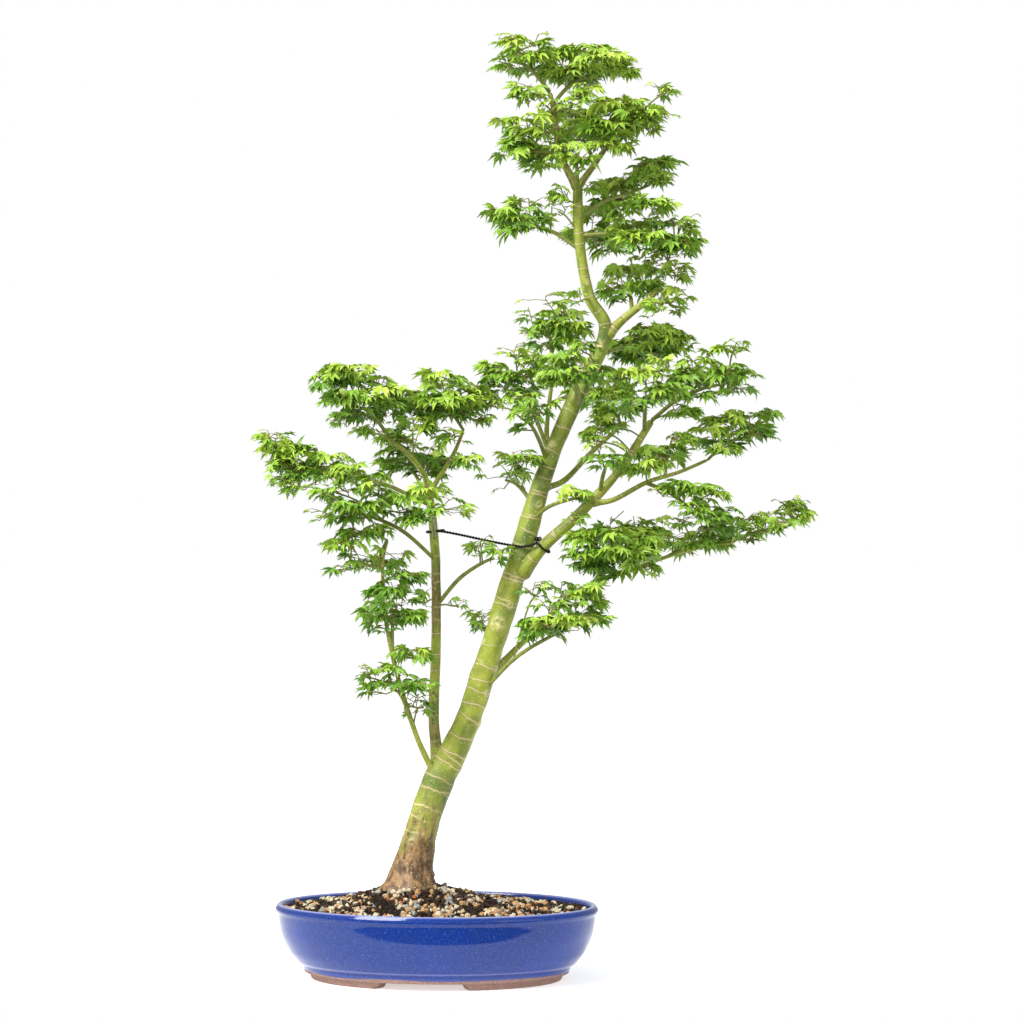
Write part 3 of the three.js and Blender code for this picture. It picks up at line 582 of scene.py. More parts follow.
@dataclass(frozen=True)
class Finish:
    """What all the finishes share: a name, two colours that a fine noise mixes, and a fine relief.

    Attributes:
        name: of the material.
        one, other: its main colour and the one that it is mottled with, sRGB.
        mottle_mm: size of the mottling.
        grain_mm, relief_mm: size of the relief's grain, and its height.
        roughness, ior: of the surface.
    """

    name: str
    one: str
    other: str
    mottle_mm: float
    grain_mm: float
    relief_mm: float
    roughness: float
    ior: float = 1.45

    def noise(self, tree: Tree, size_mm: float, low: float, high: float,
              stretch: Row = (1, 1, 1), detail: float = 3) -> Socket:
        """Noise on Object coordinates, of a size in millimetres, spread from low..high to 0..1."""
        place = add(tree, "TexCoord").outputs["Object"]
        scaled = add(tree, "Mapping", {"Scale": stretch}, {"Vector": place}).outputs[0]
        noise = add(tree, "TexNoise", {"Scale": 1 / (size_mm * MM), "Detail": detail},
                    {"Vector": scaled}).outputs[0]
        return add(tree, "MapRange", {1: low, 2: high}, {0: noise}).outputs[0]

    def blend(self, tree: Tree, share: Socket, under: Socket | str, over: Socket | str) -> Socket:
        """A colour that goes from under to over with share. Each is a socket or an sRGB colour."""
        settings, links = {"data_type": "RGBA"}, {0: share}
        for key, colour in ((6, under), (7, over)):
            if isinstance(colour, str):
                settings[key] = linear(colour)
            else:
                links[key] = colour
        return add(tree, "Mix", settings, links).outputs[2]

    def value(self, tree: Tree, name: str) -> Socket:
        """A value that the mesh holds at its corners."""
        return add(tree, "Attribute", {"attribute_name": name}).outputs["Fac"]

    def colour(self, tree: Tree) -> Socket:
        """The base colour: one and other mixed by the mottling."""
        return self.blend(tree, self.noise(tree, self.mottle_mm, 0.35, 0.65), self.one, self.other)

    def height(self, tree: Tree) -> Socket:
        """The relief, from 0 to 1."""
        return self.noise(tree, self.grain_mm, 0.2, 0.8)

    def shader(self) -> dict[str, float]:
        """What the finish sets on the shader besides its roughness and IOR."""
        return {}

    def material(self) -> Material:
        """The finish as a material."""
        made = bpy.data.materials.new(self.name)
        made.use_nodes = True
        tree = made.node_tree
        tree.nodes.clear()
        relief = add(tree, "Bump", {"Distance": self.relief_mm * MM, "Strength": 1.0},
                     {"Height": self.height(tree)}).outputs[0]
        surface = add(tree, "BsdfPrincipled", {"Roughness": self.roughness, "IOR": self.ior, **self.shader()},
                      {"Base Color": self.colour(tree), "Normal": relief}).outputs[0]
        add(tree, "OutputMaterial", None, {"Surface": surface})
        return made


@dataclass(frozen=True)
class CobaltGlaze(Finish):
    """Glossy cobalt glaze on stoneware, deep blue where it pools, lavender on edges and finely speckled."""

    deep: str = "#0b3384"
    broken: str = "#a2a8d8"
    speck: str = "#5566b4"

    def colour(self, tree: Tree) -> Socket:
        """Speckled blue, deeper where it pools and lavender where the mesh says that it is thin."""
        mottled = Finish.colour(self, tree)
        pooled = self.blend(tree, self.noise(tree, 70, 0.4, 0.7), mottled, self.deep)
        specked = self.blend(tree, self.noise(tree, 1.1, 0.6, 0.78, detail=1), pooled, self.speck)
        return self.blend(tree, self.value(tree, "thin"), specked, self.broken)

    def shader(self) -> dict[str, float]:
        """A clear coat over the colour, as on any glossy glaze."""
        return {"Coat Weight": 0.38, "Coat Roughness": 0.02}


@dataclass(frozen=True)
class Sheet(Finish):
    """Matt white paper, lit from all round so well that only shadows show on it."""

    def shader(self) -> dict[str, float]:
        """The light from all round, as a glow of the paper's own."""
        return {"Emission Color": (1, 1, 1, 1), "Emission Strength": 0.5}


@dataclass(frozen=True)
class Bark(Finish):
    """Smooth living bark: yellow-green, darker in random patches and in painted shade, tan at the scars,
    brown and cracked with age.
    """

    # Darker green, for random patches and for painted shade by the trunk's forks and amid the crown.
    patch: str = "#5f7430"
    scar: str = "#e2d59c"
    brown: str = "#a07c52"
    crack: str = "#5a432b"

    def colour(self, tree: Tree) -> Socket:
        """Green in two tones, then random patches and painted shade, then age with the painted shade beside
        the ring scars, then scars and fine tan specks.
        """
        green = Finish.colour(self, tree)
        # Darker green where the mesh's shade share says: random patches and painted shade.
        patched_and_shaded = self.blend(tree, self.value(tree, "shade"), green, self.patch)
        streaks = self.noise(tree, 5, 0.4, 0.6, (1, 1, 0.25))
        old = self.blend(tree, streaks, self.brown, self.crack)
        # Brown with age, and darker brown beside the ring scars as painted shade.
        aged_and_ring_shaded = self.blend(tree, self.value(tree, "age"), patched_and_shaded, old)
        specks = self.noise(tree, 1.6, 0.66, 0.74, detail=1)
        specked = self.blend(tree, specks, aged_and_ring_shaded, self.scar)
        return self.blend(tree, self.value(tree, "scar"), specked, self.scar)


class Blade(Enum):
    """The tints of the leaves: lit and shaded copies of the leaves' green, painted light and shade from the
    shaded inside of a mass to its sunny top. The lightest is also the yellow-green of young leaves.
    """

    SHADED = ("#5f8a2c", "#527b27")
    INNER = ("#75a234", "#66922e")
    MIDDLE = ("#8cb53b", "#7ba534")
    OUTER = ("#a6c746", "#93b73c")
    # The lightest tint: painted sunlight, and the yellow-green of young leaves.
    YOUNG = ("#bcd453", "#a8c646")


class Grain(Enum):
    """What the soil is mixed of: share of the grains, colours, and size in millimetres."""

    BARK_FINES = (0.55, "#3c2b1e", "#1d150e", (2.6, 6.0))
    LAVA = (0.12, "#57432f", "#33271c", (4.4, 9.0))
    PUMICE = (0.13, "#ded2b4", "#bfae8a", (4.4, 9.6))
    BAKED_CLAY = (0.12, "#c9a070", "#a97f52", (4.0, 8.8))
    RUST_CLAY = (0.03, "#bd7440", "#97562c", (3.4, 6.8))
    GREY_STONE = (0.05, "#a9a89f", "#85857e", (4.4, 9.4))


GLAZE = CobaltGlaze("cobalt_glaze", "#1c3780", "#142a69", 1.6, 3.0, 0.05, 0.1, 1.28)
CLAY = Finish("unglazed_stoneware", "#96786b", "#7d6157", 3.0, 0.9, 0.25, 0.8, 1.5)
BARK = Bark("maple_bark", "#a9b340", "#929f37", 11.0, 1.4, 0.12, 0.5)
TWIG_BARK = Finish("twig_bark", "#8b9a41", "#7c7a3a", 6.0, 0.8, 0.05, 0.5)
STALK = Finish("leaf_stalk", "#a2a548", "#a4503a", 9.0, 0.6, 0.02, 0.45)
TWINE = Finish("dark_twine", "#1b1714", "#0c0a09", 0.8, 0.4, 0.1, 0.6)


# ---- Trunk and boughs ----


@dataclass
class Limbs:
    """The trunk and the boughs, with the bark's relief: ring scars, knots, collars, and cracks at the foot.

    Attributes:
        seat, foot: height of the soil at the trunk's foot, and the foot's x and y.
        flare, flare_height: how much wider the foot is than the trunk, and how fast that dies out going up.
        toes, toe: of the flare, and their share in it.
        at_tip: how near a limb starts to another's tip, if it springs from there.
        sunk_in: how far down inside its parent a limb's bark starts, times its largest radius.
        blunt: length of a limb's rounded end.
        sides_per_mm, sides: of a limb's mesh for its largest radius, and the fewest and most.
        steps, thick_from: steps along the mesh of a limb of that radius or more, and of a thinner one.
        full_at, ridge: radius of a limb whose relief is full, and the height of a ring scar on it.
        swells: height on it, fineness round it and pitch along it of the bark's swellings.
        gap: least and most between two strewn ring scars.
        knots: height, side and size of the trunk's knots. Side 0 is on the right, and -pi / 2 in front.
        dome: height of a knot, and depth and width of its hollow, as shares of its size.
        rings: heights of the trunk's ring scars, up to its fork. Above it they are strewn.
        old_below, crack: height below which the trunk turns brown and over how far, and the cracks' depth.
        forks, fork_reach: heights of the trunk's forks, and how far from them the bark is painted darker, as
            shade.
        amid: strength, middle and reach of the trunk's darker stretch amid the crown, painted as the crown's
            shadow.
        browned: middle and reach of the left stem's brown stretches.
        browns, usual_brown: how brown the other limbs are.
    """

    seat: float = 104.0
    foot: Pair = (-33.0, 0.0)
    flare: float = 0.62
    flare_height: float = 17.0
    toes: int = 5
    toe: float = 0.16
    at_tip: float = 8.0
    sunk_in: float = 1.9
    blunt: float = 2.5
    sides_per_mm: float = 7.0
    sides: tuple[int, int] = (20, 96)
    steps: Pair = (1.0, 1.6)
    thick_from: float = 7.0
    full_at: float = 17.0
    ridge: float = 0.42
    swells: tuple[Triple, ...] = ((0.5, 0.5, 70), (0.1, 2, 16))
    gap: Pair = (9, 34)
    rings: Row = (
        166, 182, 196, 215, 220, 229, 247, 253, 260, 278, 296, 299, 314, 331, 345, 359, 363, 384, 397, 431,
        436, 459, 464, 486,
    )
    knots: tuple[Triple, ...] = (
        (155, -1.9, 6.0), (296, -0.25, 5.0), (331, -0.7, 4.6), (359, -0.6, 5.2), (384, -2.6, 4.0),
        (408, -1.75, 9.0), (431, -1.1, 4.6), (461, -1.4, 6.0), (545, -1.1, 4.6), (612, -2.0, 4.6),
        (664, -1.4, 5.0), (727, -1.9, 5.4), (800, -1.2, 3.6),
    )
    dome: Triple = (0.36, 0.3, 0.42)
    old_below: Pair = (206.0, 60.0)
    crack: float = 0.95
    forks: Row = (222.0, 492.0, 742.0)
    fork_reach: float = 17.0
    amid: Triple = (0.42, 612, 92)
    browned: tuple[Pair, ...] = ((443, 38), (300, 34))
    browns: tuple[tuple[str, float], ...] = (("left_whip", 0.25), ("crown_left", 0.75), ("crown_right", 0.7))
    usual_brown: float = 0.2

    def ring(self, around: Array, way: Array, position: float, here: float, rng: Rng) -> Array:
        """One ring scar: exp(-(distance / width) ** 2) off a tilted, wavy line that is open on one side.

        Args:
            around: round the limb, in radians.
            way: along the limb, in millimetres.
            position: of the ring, along the limb.
            here: the limb's radius there.
            rng: random numbers.

        Returns:
            The ring's height, from 0 to 1.
        """
        phase = rng.uniform(0, 2 * math.pi)
        wave = 0.05 * np.sin(2 * around + 2.3 * phase) + 0.03 * np.sin(5 * around + phase)
        wave += 0.012 * np.sin(13 * around + 3 * phase) + rng.normal(0, 0.12) * np.cos(around - phase)
        open_side = np.clip(rng.uniform(0.4, 1.5) + 0.9 * np.cos(around - rng.uniform(0, 6.3)), 0, 1)
        return open_side * np.exp(-(((way - position - here * wave) / (0.36 + 0.022 * here)) ** 2))

    def positions(self, name: str, route: Route, rng: Rng) -> list[float]:
        """Where a limb's ring scars are, in millimetres along it."""
        found, start = [], rng.uniform(6, 14)
        if name == "trunk":
            share = np.interp(self.rings, route.line[:, 2], route.shares)
            found = list(share * route.length)
            start = found[-1] + 12
        while start < route.length:
            found.append(start)
            if rng.uniform() < 0.3:
                found.append(start + rng.uniform(2, 4))
            start += rng.uniform(*self.gap)
        return found

    def relief(self, name: str, route: Route, shares: Array, angle: Array, radius: Array) -> dict[str, Array]:
        """How far the bark stands out, and its colours' shares.

        Ring scars are thin ridges round the limb. A knot is a low dome with a hollow and wrinkles round it:
        dome * exp(-far ** 2) - hollow * exp(-(far / width) ** 2) of its size.

        Args:
            name: of the limb.
            route: its middle line.
            shares: (points, 1) of its length.
            angle: (1, sides) round it. 0 is on the trunk's right, a quarter turn behind it.
            radius: (points, 1).

        Returns:
            "out" in millimetres, and "scar", "age" and "shade" from 0 to 1, all (points, sides). "age" also
            holds painted shade beside the ring scars, and "shade" holds painted shade by the trunk's forks
            and amid the crown.
        """
        seed = sum(ord(letter) for letter in name)
        rng = np.random.default_rng(seed)
        wander = Wander(seed)
        way = shares * route.length + 0 * angle
        around = angle + 0 * shares
        thick = np.clip(radius / self.full_at, 0.12, 1.2)
        out, scar, edge = np.zeros_like(way), np.zeros_like(way), np.zeros_like(way)
        for position in self.positions(name, route, rng):
            here = float(np.interp(position / route.length, shares[:, 0], radius[:, 0]))
            ridge = self.ring(around, way, position, here, rng)
            out += self.ridge * thick * ridge
            strength = rng.uniform(0.55, 1.0)
            scar = np.maximum(scar, strength * ridge**0.6)
            # Both sides of a ring scar are painted darker, as shade at the foot of its ridge.
            below = np.roll(ridge, -1, axis=0) + np.roll(ridge, 1, axis=0) - 2 * ridge
            edge = np.maximum(edge, strength * np.clip(below, 0, 1))
        out += thick * sum(high * wander(around, way, busy, pitch) for high, busy, pitch in self.swells)
        height = route.at(shares[:, 0])[:, 2][:, None]
        uneven = 12 * wander(around, way, 1.6, 34)
        if name == "trunk":
            dome, hollow, width = self.dome
            for level, side, size in self.knots:
                aside = np.angle(np.exp(1j * (around - side))) * radius
                far = np.hypot(aside, height - level) / size
                out += dome * size * np.exp(-(far**2)) - hollow * size * np.exp(-((far / width) ** 2))
                wrinkle = 0.5 + 0.5 * np.sin(9 * far + 2 * wander(around, way, 2, 6))
                scar = np.maximum(scar, np.exp(-(far**4)) * wrinkle)
            level, over = self.old_below
            old = np.clip((level - height + uneven) / over, 0, 1)
            cracks = np.abs(wander(around, way, 3.2, 46))
            out += old * (self.crack * np.minimum(cracks, 1) + 0.25 * wander(around, way, 6, 7) - 0.5)
            scar *= 1 - 0.7 * old
        else:
            old = self.brown_share(name, height) * np.clip(0.6 + 0.6 * wander(around, way, 1, 30), 0, 1)
        # The shade share: random darker patches, painted shade by the trunk's forks and amid the crown, and
        # the left stem's darker brown stretches.
        under = np.clip(-0.25 - 0.95 * wander(around, way, 0.6, 90), 0, 1)
        shade = np.clip(0.6 * under + 0.85 * self.crotch(name, height), 0, 1)
        # The painted shade beside the ring scars goes in with the age, as darker brown lines.
        old = np.clip(np.maximum(old, 1.3 * edge), 0, 1)
        return {"out": out, "scar": np.clip(scar, 0, 1), "age": old, "shade": shade}

    def brown_share(self, name: str, height: Array) -> Array:
        """How brown a limb is: the crown's limbs are reddish brown, the left stem has two brown stretches.

        Args:
            name: of the limb.
            height: (points, 1) of its middle line.

        Returns:
            A share for each height.
        """
        if name == "left_stem":
            return 0.1 + 0.8 * self.browning(height)
        return dict(self.browns).get(name, self.usual_brown) + 0 * height

    def browning(self, height: Array) -> Array:
        """The left stem's brown stretches, from 0 to 1: exp(-(distance / reach) ** 4) for each."""
        return sum(np.exp(-(((height - middle) / reach) ** 4)) for middle, reach in self.browned)

    def crotch(self, name: str, height: Array) -> Array:
        """Darker bark, from 0 to 1: painted shade by the trunk's forks and the crown's painted shadow amid
        it, and darker bark where the left stem is brown.
        """
        if name != "trunk":
            return 0.04 + (0.75 * self.browning(height) if name == "left_stem" else 0 * height)
        # Painted shade: the crown's shadow on the trunk amid it, and shade at each fork.
        strength, middle, reach = self.amid
        amid = strength * np.exp(-(((height - middle) / reach) ** 4))
        away = (height - np.array(self.forks)) / self.fork_reach
        return amid + np.exp(-(away**2)).sum(-1, keepdims=True)

    def shell(self, name: str) -> Shell:
        """One limb: a tube along its route, swollen to a collar where it springs, with the relief on it.

        Args:
            name: of the limb.

        Returns:
            Its shell, in metres in the part's frame.
        """
        route = ROUTES[name]
        widest = float(route.radii.max())
        step = self.steps[0] if widest > self.thick_from else self.steps[1]
        sides = int(np.clip(round(widest * self.sides_per_mm), *self.sides))
        shares = np.linspace(0, 1, int(route.length / step))
        line = route.at(shares)
        radius = self.smoothed(route, shares)
        if name != "trunk":
            way = shares * route.length
            parent, share = self.origin(name)
            under = parent.at(share - self.sunk_in * widest / parent.length)
            line = line + np.exp(-way / (self.sunk_in * widest))[:, None] * (under - line[0])
            collar, sunk = 1 + 0.25 * np.exp(-way / (1.5 * widest)), np.clip(way / 2, 0.3, 1) ** 0.5
            if share < 1:
                collar = 1 + 0.42 * np.exp(-np.maximum(0, way - 1.6 * widest) / (1.5 * widest))
                sunk = np.clip(way / (1.4 * widest), 0.1, 1) ** 0.7
            radius = radius * collar * sunk
        radius = radius * np.clip((1 - shares) * route.length / self.blunt, 0.02, 1) ** 0.5
        angle = 2 * math.pi * np.arange(sides) / sides
        relief = self.relief(name, route, shares[:, None], angle[None], radius[:, None])
        shell = tubes(line[None], (radius[:, None] + relief.pop("out"))[None], sides)
        for key, value in relief.items():
            shell.values[key] = np.concatenate([value.ravel(), value[0, :1], value[-1, :1]])
        if name == "trunk":
            shell.corners = self.flared(shell.corners)
        shell.corners = in_frame(shell.corners)
        return shell

    def origin(self, name: str) -> tuple[Route, float]:
        """The limb that a limb springs from, the nearest to its start, and the share of its length."""
        start = ROUTES[name].line[0]
        found = []
        for other in list(LIMBS)[: list(LIMBS).index(name)]:
            route = ROUTES[other]
            away = norm(route.line - start, axis=1)
            found.append((float(away.min()), route, float(route.shares[np.argmin(away)])))
        _, parent, share = min(found, key=lambda one: one[0])
        tip = norm(parent.line[-1] - start) < self.at_tip
        return parent, 1.0 if tip else share

    def smoothed(self, route: Route, shares: Array) -> Array:
        """The radius along a limb with its corners rounded off: a running mean over a tenth of its length."""
        fine = np.linspace(0, 1, 200)
        wide = np.pad(route.radius(fine), 10, mode="edge")
        return np.interp(shares, fine, np.convolve(wide, np.ones(21) / 21, mode="valid"))

    def flared(self, corners: Array) -> Array:
        """The root flare: near the soil the trunk widens into a few blunt toes."""
        aside = corners[:, :2] - self.foot
        near = np.exp(-np.maximum(0, corners[:, 2] - self.seat) / self.flare_height)
        toes = np.cos(self.toes * np.arctan2(aside[:, 1], aside[:, 0]))
        widen = 1 + self.flare * near * (1 + self.toe * toes)
        flared = corners.copy()
        flared[:, :2] = self.foot + aside * widen[:, None]
        return flared

    def build(self) -> None:
        """Each limb as its own piece, in place of its solid."""
        bark = BARK.material()
        for name in LIMBS:
            piece = self.shell(name).build(f"{name}_bark", [bark], smooth=True)
            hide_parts(name)


# ---- Foliage ----


@dataclass
class Space:
    """The room of one mass: an ellipsoid round its middle, sheared up or down along X by its rise.

    Attributes:
        name: of the mass.
        limb, share: that it springs from, and the share of its length there.
        centre, reach: of the room, and half its length, width and height.
        rise: of the room along X.
        foot: largest radius of its stem.
        loose: how far a spray's leaves may go out of the room, least and most.
    """

    name: str
    limb: str
    share: float
    centre: Array
    reach: Array
    rise: float
    foot: float = 2.4
    loose: Pair = (-7.0, 10.0)

    def offset(self, points: Array) -> Array:
        """Points as shares of the reach, measured in the space."""
        away = points - self.centre
        away = away - self.rise * away[..., :1] * UP
        return away / self.reach

    def place(self, x: float, y: float, z: float) -> Array:
        """The point at shares of the reach."""
        away = np.array([x, y, z]) * self.reach
        return self.centre + away + self.rise * away[0] * UP

    def depth(self, points: Array) -> Array:
        """0 in the middle, 1 at the rim."""
        return norm(self.offset(points), axis=-1)

    def room(self, start: Array, way: Array, loose: float) -> float:
        """How far the tips of leaves can go from a point, up to loose outside the space. 0 beyond that."""
        ease = self.reach / (self.reach + loose)
        here = self.offset(start) * ease
        step = self.offset(start + way) * ease - here
        a, b, c = step @ step, here @ step, here @ here - 1
        return 0.0 if c > 0 else float((-b + math.sqrt(b * b - a * c)) / a)


@dataclass
class Bud:
    """A place on a stem or a twig where a twig can spring: where, how thick, how far from the limb."""

    at: Array
    radius: float
    way: float


@dataclass
class Twig:
    """A twig from its bud to its end, and the level direction that it leafs in.

    Its spray has a tone of its own, and goes its own way out of the space or stops short of its rim.
    """

    start: Array
    end: Array
    foot: float
    tip: float
    ahead: Array
    finer: bool
    tone: float = 0.0
    loose: float = 0.0


@dataclass
class Growth:
    """The rule by which a mass grows, with the same numbers as the part's own.

    A stem runs from the limb through the heart of the mass. The places of the main leaves lie on a sunflower
    spiral over a domed bed, every other one on a lower storey, and each is reached by a twig from the free
    bud that gives it the shortest way.

    Attributes:
        bed_per_leaf, fewest: area of the bed for a main leaf, and the fewest of them.
        spread, upper, lower: radius of the spiral and height of the storeys, as shares of the reach.
        dome, jitter: how much lower the bed is at its rim, and how uneven.
        detour: how much further off a bud counts for each millimetre from it to the limb.
        of_limb, stem_tip: radius of a stem's foot as a share of the limb's, and of its tip.
        heart, lean, past: height of the heart, how near it is to the stem's foot, how far the stem passes it.
        bud_every: distance between two buds on a stem.
        bows: how a stem may bow, up and aside, as shares of its span.
        thinner, thinnest: radius of a twig's foot as a share of its bud's, and its least radius.
        twig_tip, twig_buds: radius of a twig's tip, and where its own buds sit.
        least_sine: of the angle between a main twig and the line across its leaves.
        margin: gap to the limbs that don't bear the mass.
        finer: how many finer twigs there are for each main one.
        fine_spread, storeys: radius of their spiral and heights of their ends.
        parents: the limbs, and the stems grown so far.
    """

    bed_per_leaf: float = 390.0
    fewest: int = 3
    spread: float = 0.6
    upper: float = 0.84
    lower: float = 0.02
    dome: float = 0.5
    jitter: float = 0.22
    detour: float = 0.35
    of_limb: float = 0.8
    stem_tip: float = 1.5
    heart: float = -0.25
    past: float = 0.4
    bud_every: float = 9.0
    lean: float = 0.1
    bows: tuple[Pair, ...] = (
        (0.08, 0), (-0.1, 0), (0, 0.15), (0, -0.15), (0.2, 0.2), (0.2, -0.2), (-0.2, 0.2), (-0.2, -0.2),
    )
    thinner: float = 0.42
    thinnest: float = 0.55
    twig_tip: float = 0.75
    twig_buds: Row = (0.35, 0.7)
    least_sine: float = 0.35
    margin: float = 1.0
    finer: float = 1.3
    fine_spread: float = 0.86
    storeys: Row = (-0.6, -0.1, 0.35, 0.62)
    parents: dict[str, Route] = field(default_factory=lambda: dict(ROUTES))

    def spiral(self, space: Space, random: Callable[[], float], spread: float, shares: list[float],
               height: Callable[[int, float, float], float]) -> list[Array]:
        """Places on a sunflower spiral, spread * sqrt(share) from its middle.

        Args:
            space: of the mass.
            random: gives the spiral's turn, then each place's jitter.
            spread: radius of the spiral, as a share of the reach.
            shares: one for each place.
            height: of a place, from its number, its distance from the middle and its jitter.

        Returns:
            The places.
        """
        turn = random() * 2 * math.pi
        places = []
        for i, share in enumerate(shares):
            out = spread * math.sqrt(share)
            angle = turn + i * GOLDEN_ANGLE
            up = height(i, out, self.jitter * (random() - 0.5))
            places.append(space.place(out * math.cos(angle), out * math.sin(angle), up))
        return places

    def fine_sites(self, space: Space, random: Callable[[], float]) -> list[Array]:
        """Where the finer twigs end: on storeys all through the mass."""
        count = round(self.finer * max(self.fewest, space.reach[0] * space.reach[1] / self.bed_per_leaf))
        shares = [(i + 0.5) / count for i in range(count)]
        return self.spiral(space, random, self.fine_spread, shares, lambda i, out, jitter: (
            (self.storeys[i % len(self.storeys)] + jitter) * math.sqrt(1 - out * out)))

    def sites(self, space: Space, random: Callable[[], float]) -> list[Array]:
        """Where the main leaves of a mass sit: on a domed bed, every other one on the lower storey."""
        count = max(self.fewest, math.floor(space.reach[0] * space.reach[1] / self.bed_per_leaf + 0.5))
        shares = [(i + 0.35) / count for i in range(count)]
        return self.spiral(space, random, self.spread, shares, lambda i, out, jitter: (
            (self.lower if i % 2 else self.upper) - self.dome * out * out + jitter))

    def clear(self, space: Space, line: Array) -> bool:
        """Whether a line keeps away from every limb but the one that bears the mass."""
        for name, route in ROUTES.items():
            if name == space.limb:
                continue
            gaps = norm(line[:, None] - route.line[None, ::4], axis=-1) - route.radii[None, ::4]
            if gaps.min() < self.margin:
                return False
        return True

    def stem(self, space: Space) -> tuple[Route, Array]:
        """The stem of a mass on its first clear bow, and the heart that it makes for."""
        parent = self.parents[space.limb]
        root = parent.at(space.share)
        inward = -unit(space.offset(root) * [1, 1, 0])
        heart = space.place(0, 0, self.heart) * (1 - self.lean) + root * self.lean
        end = space.place(self.past * inward[0], self.past * inward[1], self.heart)
        span = float(norm(root - heart))
        level = unit(np.cross(heart - root, UP))
        foot = min(space.foot, self.of_limb * float(parent.radius(space.share)) + 0.3)
        tip = min(self.stem_tip, foot)
        routes = []
        for up, aside in self.bows:
            knee = (root + heart) / 2 + up * span * UP + aside * span * level
            routes.append(Route([[*root, foot], [*knee, foot], [*heart, (foot + tip) / 2], [*end, tip]]))
            if self.clear(space, routes[-1].line[::20]):
                return routes[-1], heart
        return routes[0], heart

    def grow(self, space: Space, spaces: list[Space], seed: int) -> tuple[Route, list[Twig]]:
        """The stem and the main twigs of a mass."""
        random = random_from(seed)
        route, heart = self.stem(space)
        self.parents["leaves_" + space.name] = route
        count = int(route.length / self.bud_every)
        shares = [(i + 1) / (count + 1) for i in range(count)]
        buds = [Bud(route.at(s), float(route.radius(s)), s * route.length) for s in shares]
        buds = [bud for bud in buds if space.depth(bud.at) < 1] or buds[-1:]
        twigs = []
        for sites, finer in ((self.sites(space, random), False), (self.fine_sites(space, random), True)):
            for site in sorted(sites, key=lambda at: float(norm(at - heart))):
                if any(other.depth(site) < space.depth(site) for other in spaces):
                    continue
                bud = min(buds, key=lambda b: float(norm(b.at - site)) + self.detour * b.way)
                way = unit(site - bud.at)
                ahead = unit(unit(way * [1, 1, 0]) + unit((site - heart) * [1, 1, 0]))
                askew = norm(np.cross(way, np.cross(UP, ahead))) < self.least_sine
                if (askew and not finer) or not self.clear(space, np.linspace(bud.at, site, 9)):
                    continue
                foot = max(self.thinnest, self.thinner * bud.radius)
                twig = Twig(bud.at, site, foot, min(self.twig_tip, foot), ahead, finer)
                twigs.append(twig)
                buds = [other for other in buds if other is not bud] or buds
                length = float(norm(site - bud.at))
                for share in self.twig_buds:
                    at = bud.at + share * (site - bud.at)
                    buds.append(Bud(at, foot + share * (twig.tip - foot), bud.way + share * length))
        return route, twigs


@dataclass
class Sprays:
    """Fine shoots, stalks and leaves on the main twigs of some masses, gathered for their meshes."""

    shoots: list[Array] = field(default_factory=list)
    shoot_radii: list[Array] = field(default_factory=list)
    stalks: list[Array] = field(default_factory=list)
    leaves: list[Row] = field(default_factory=list)


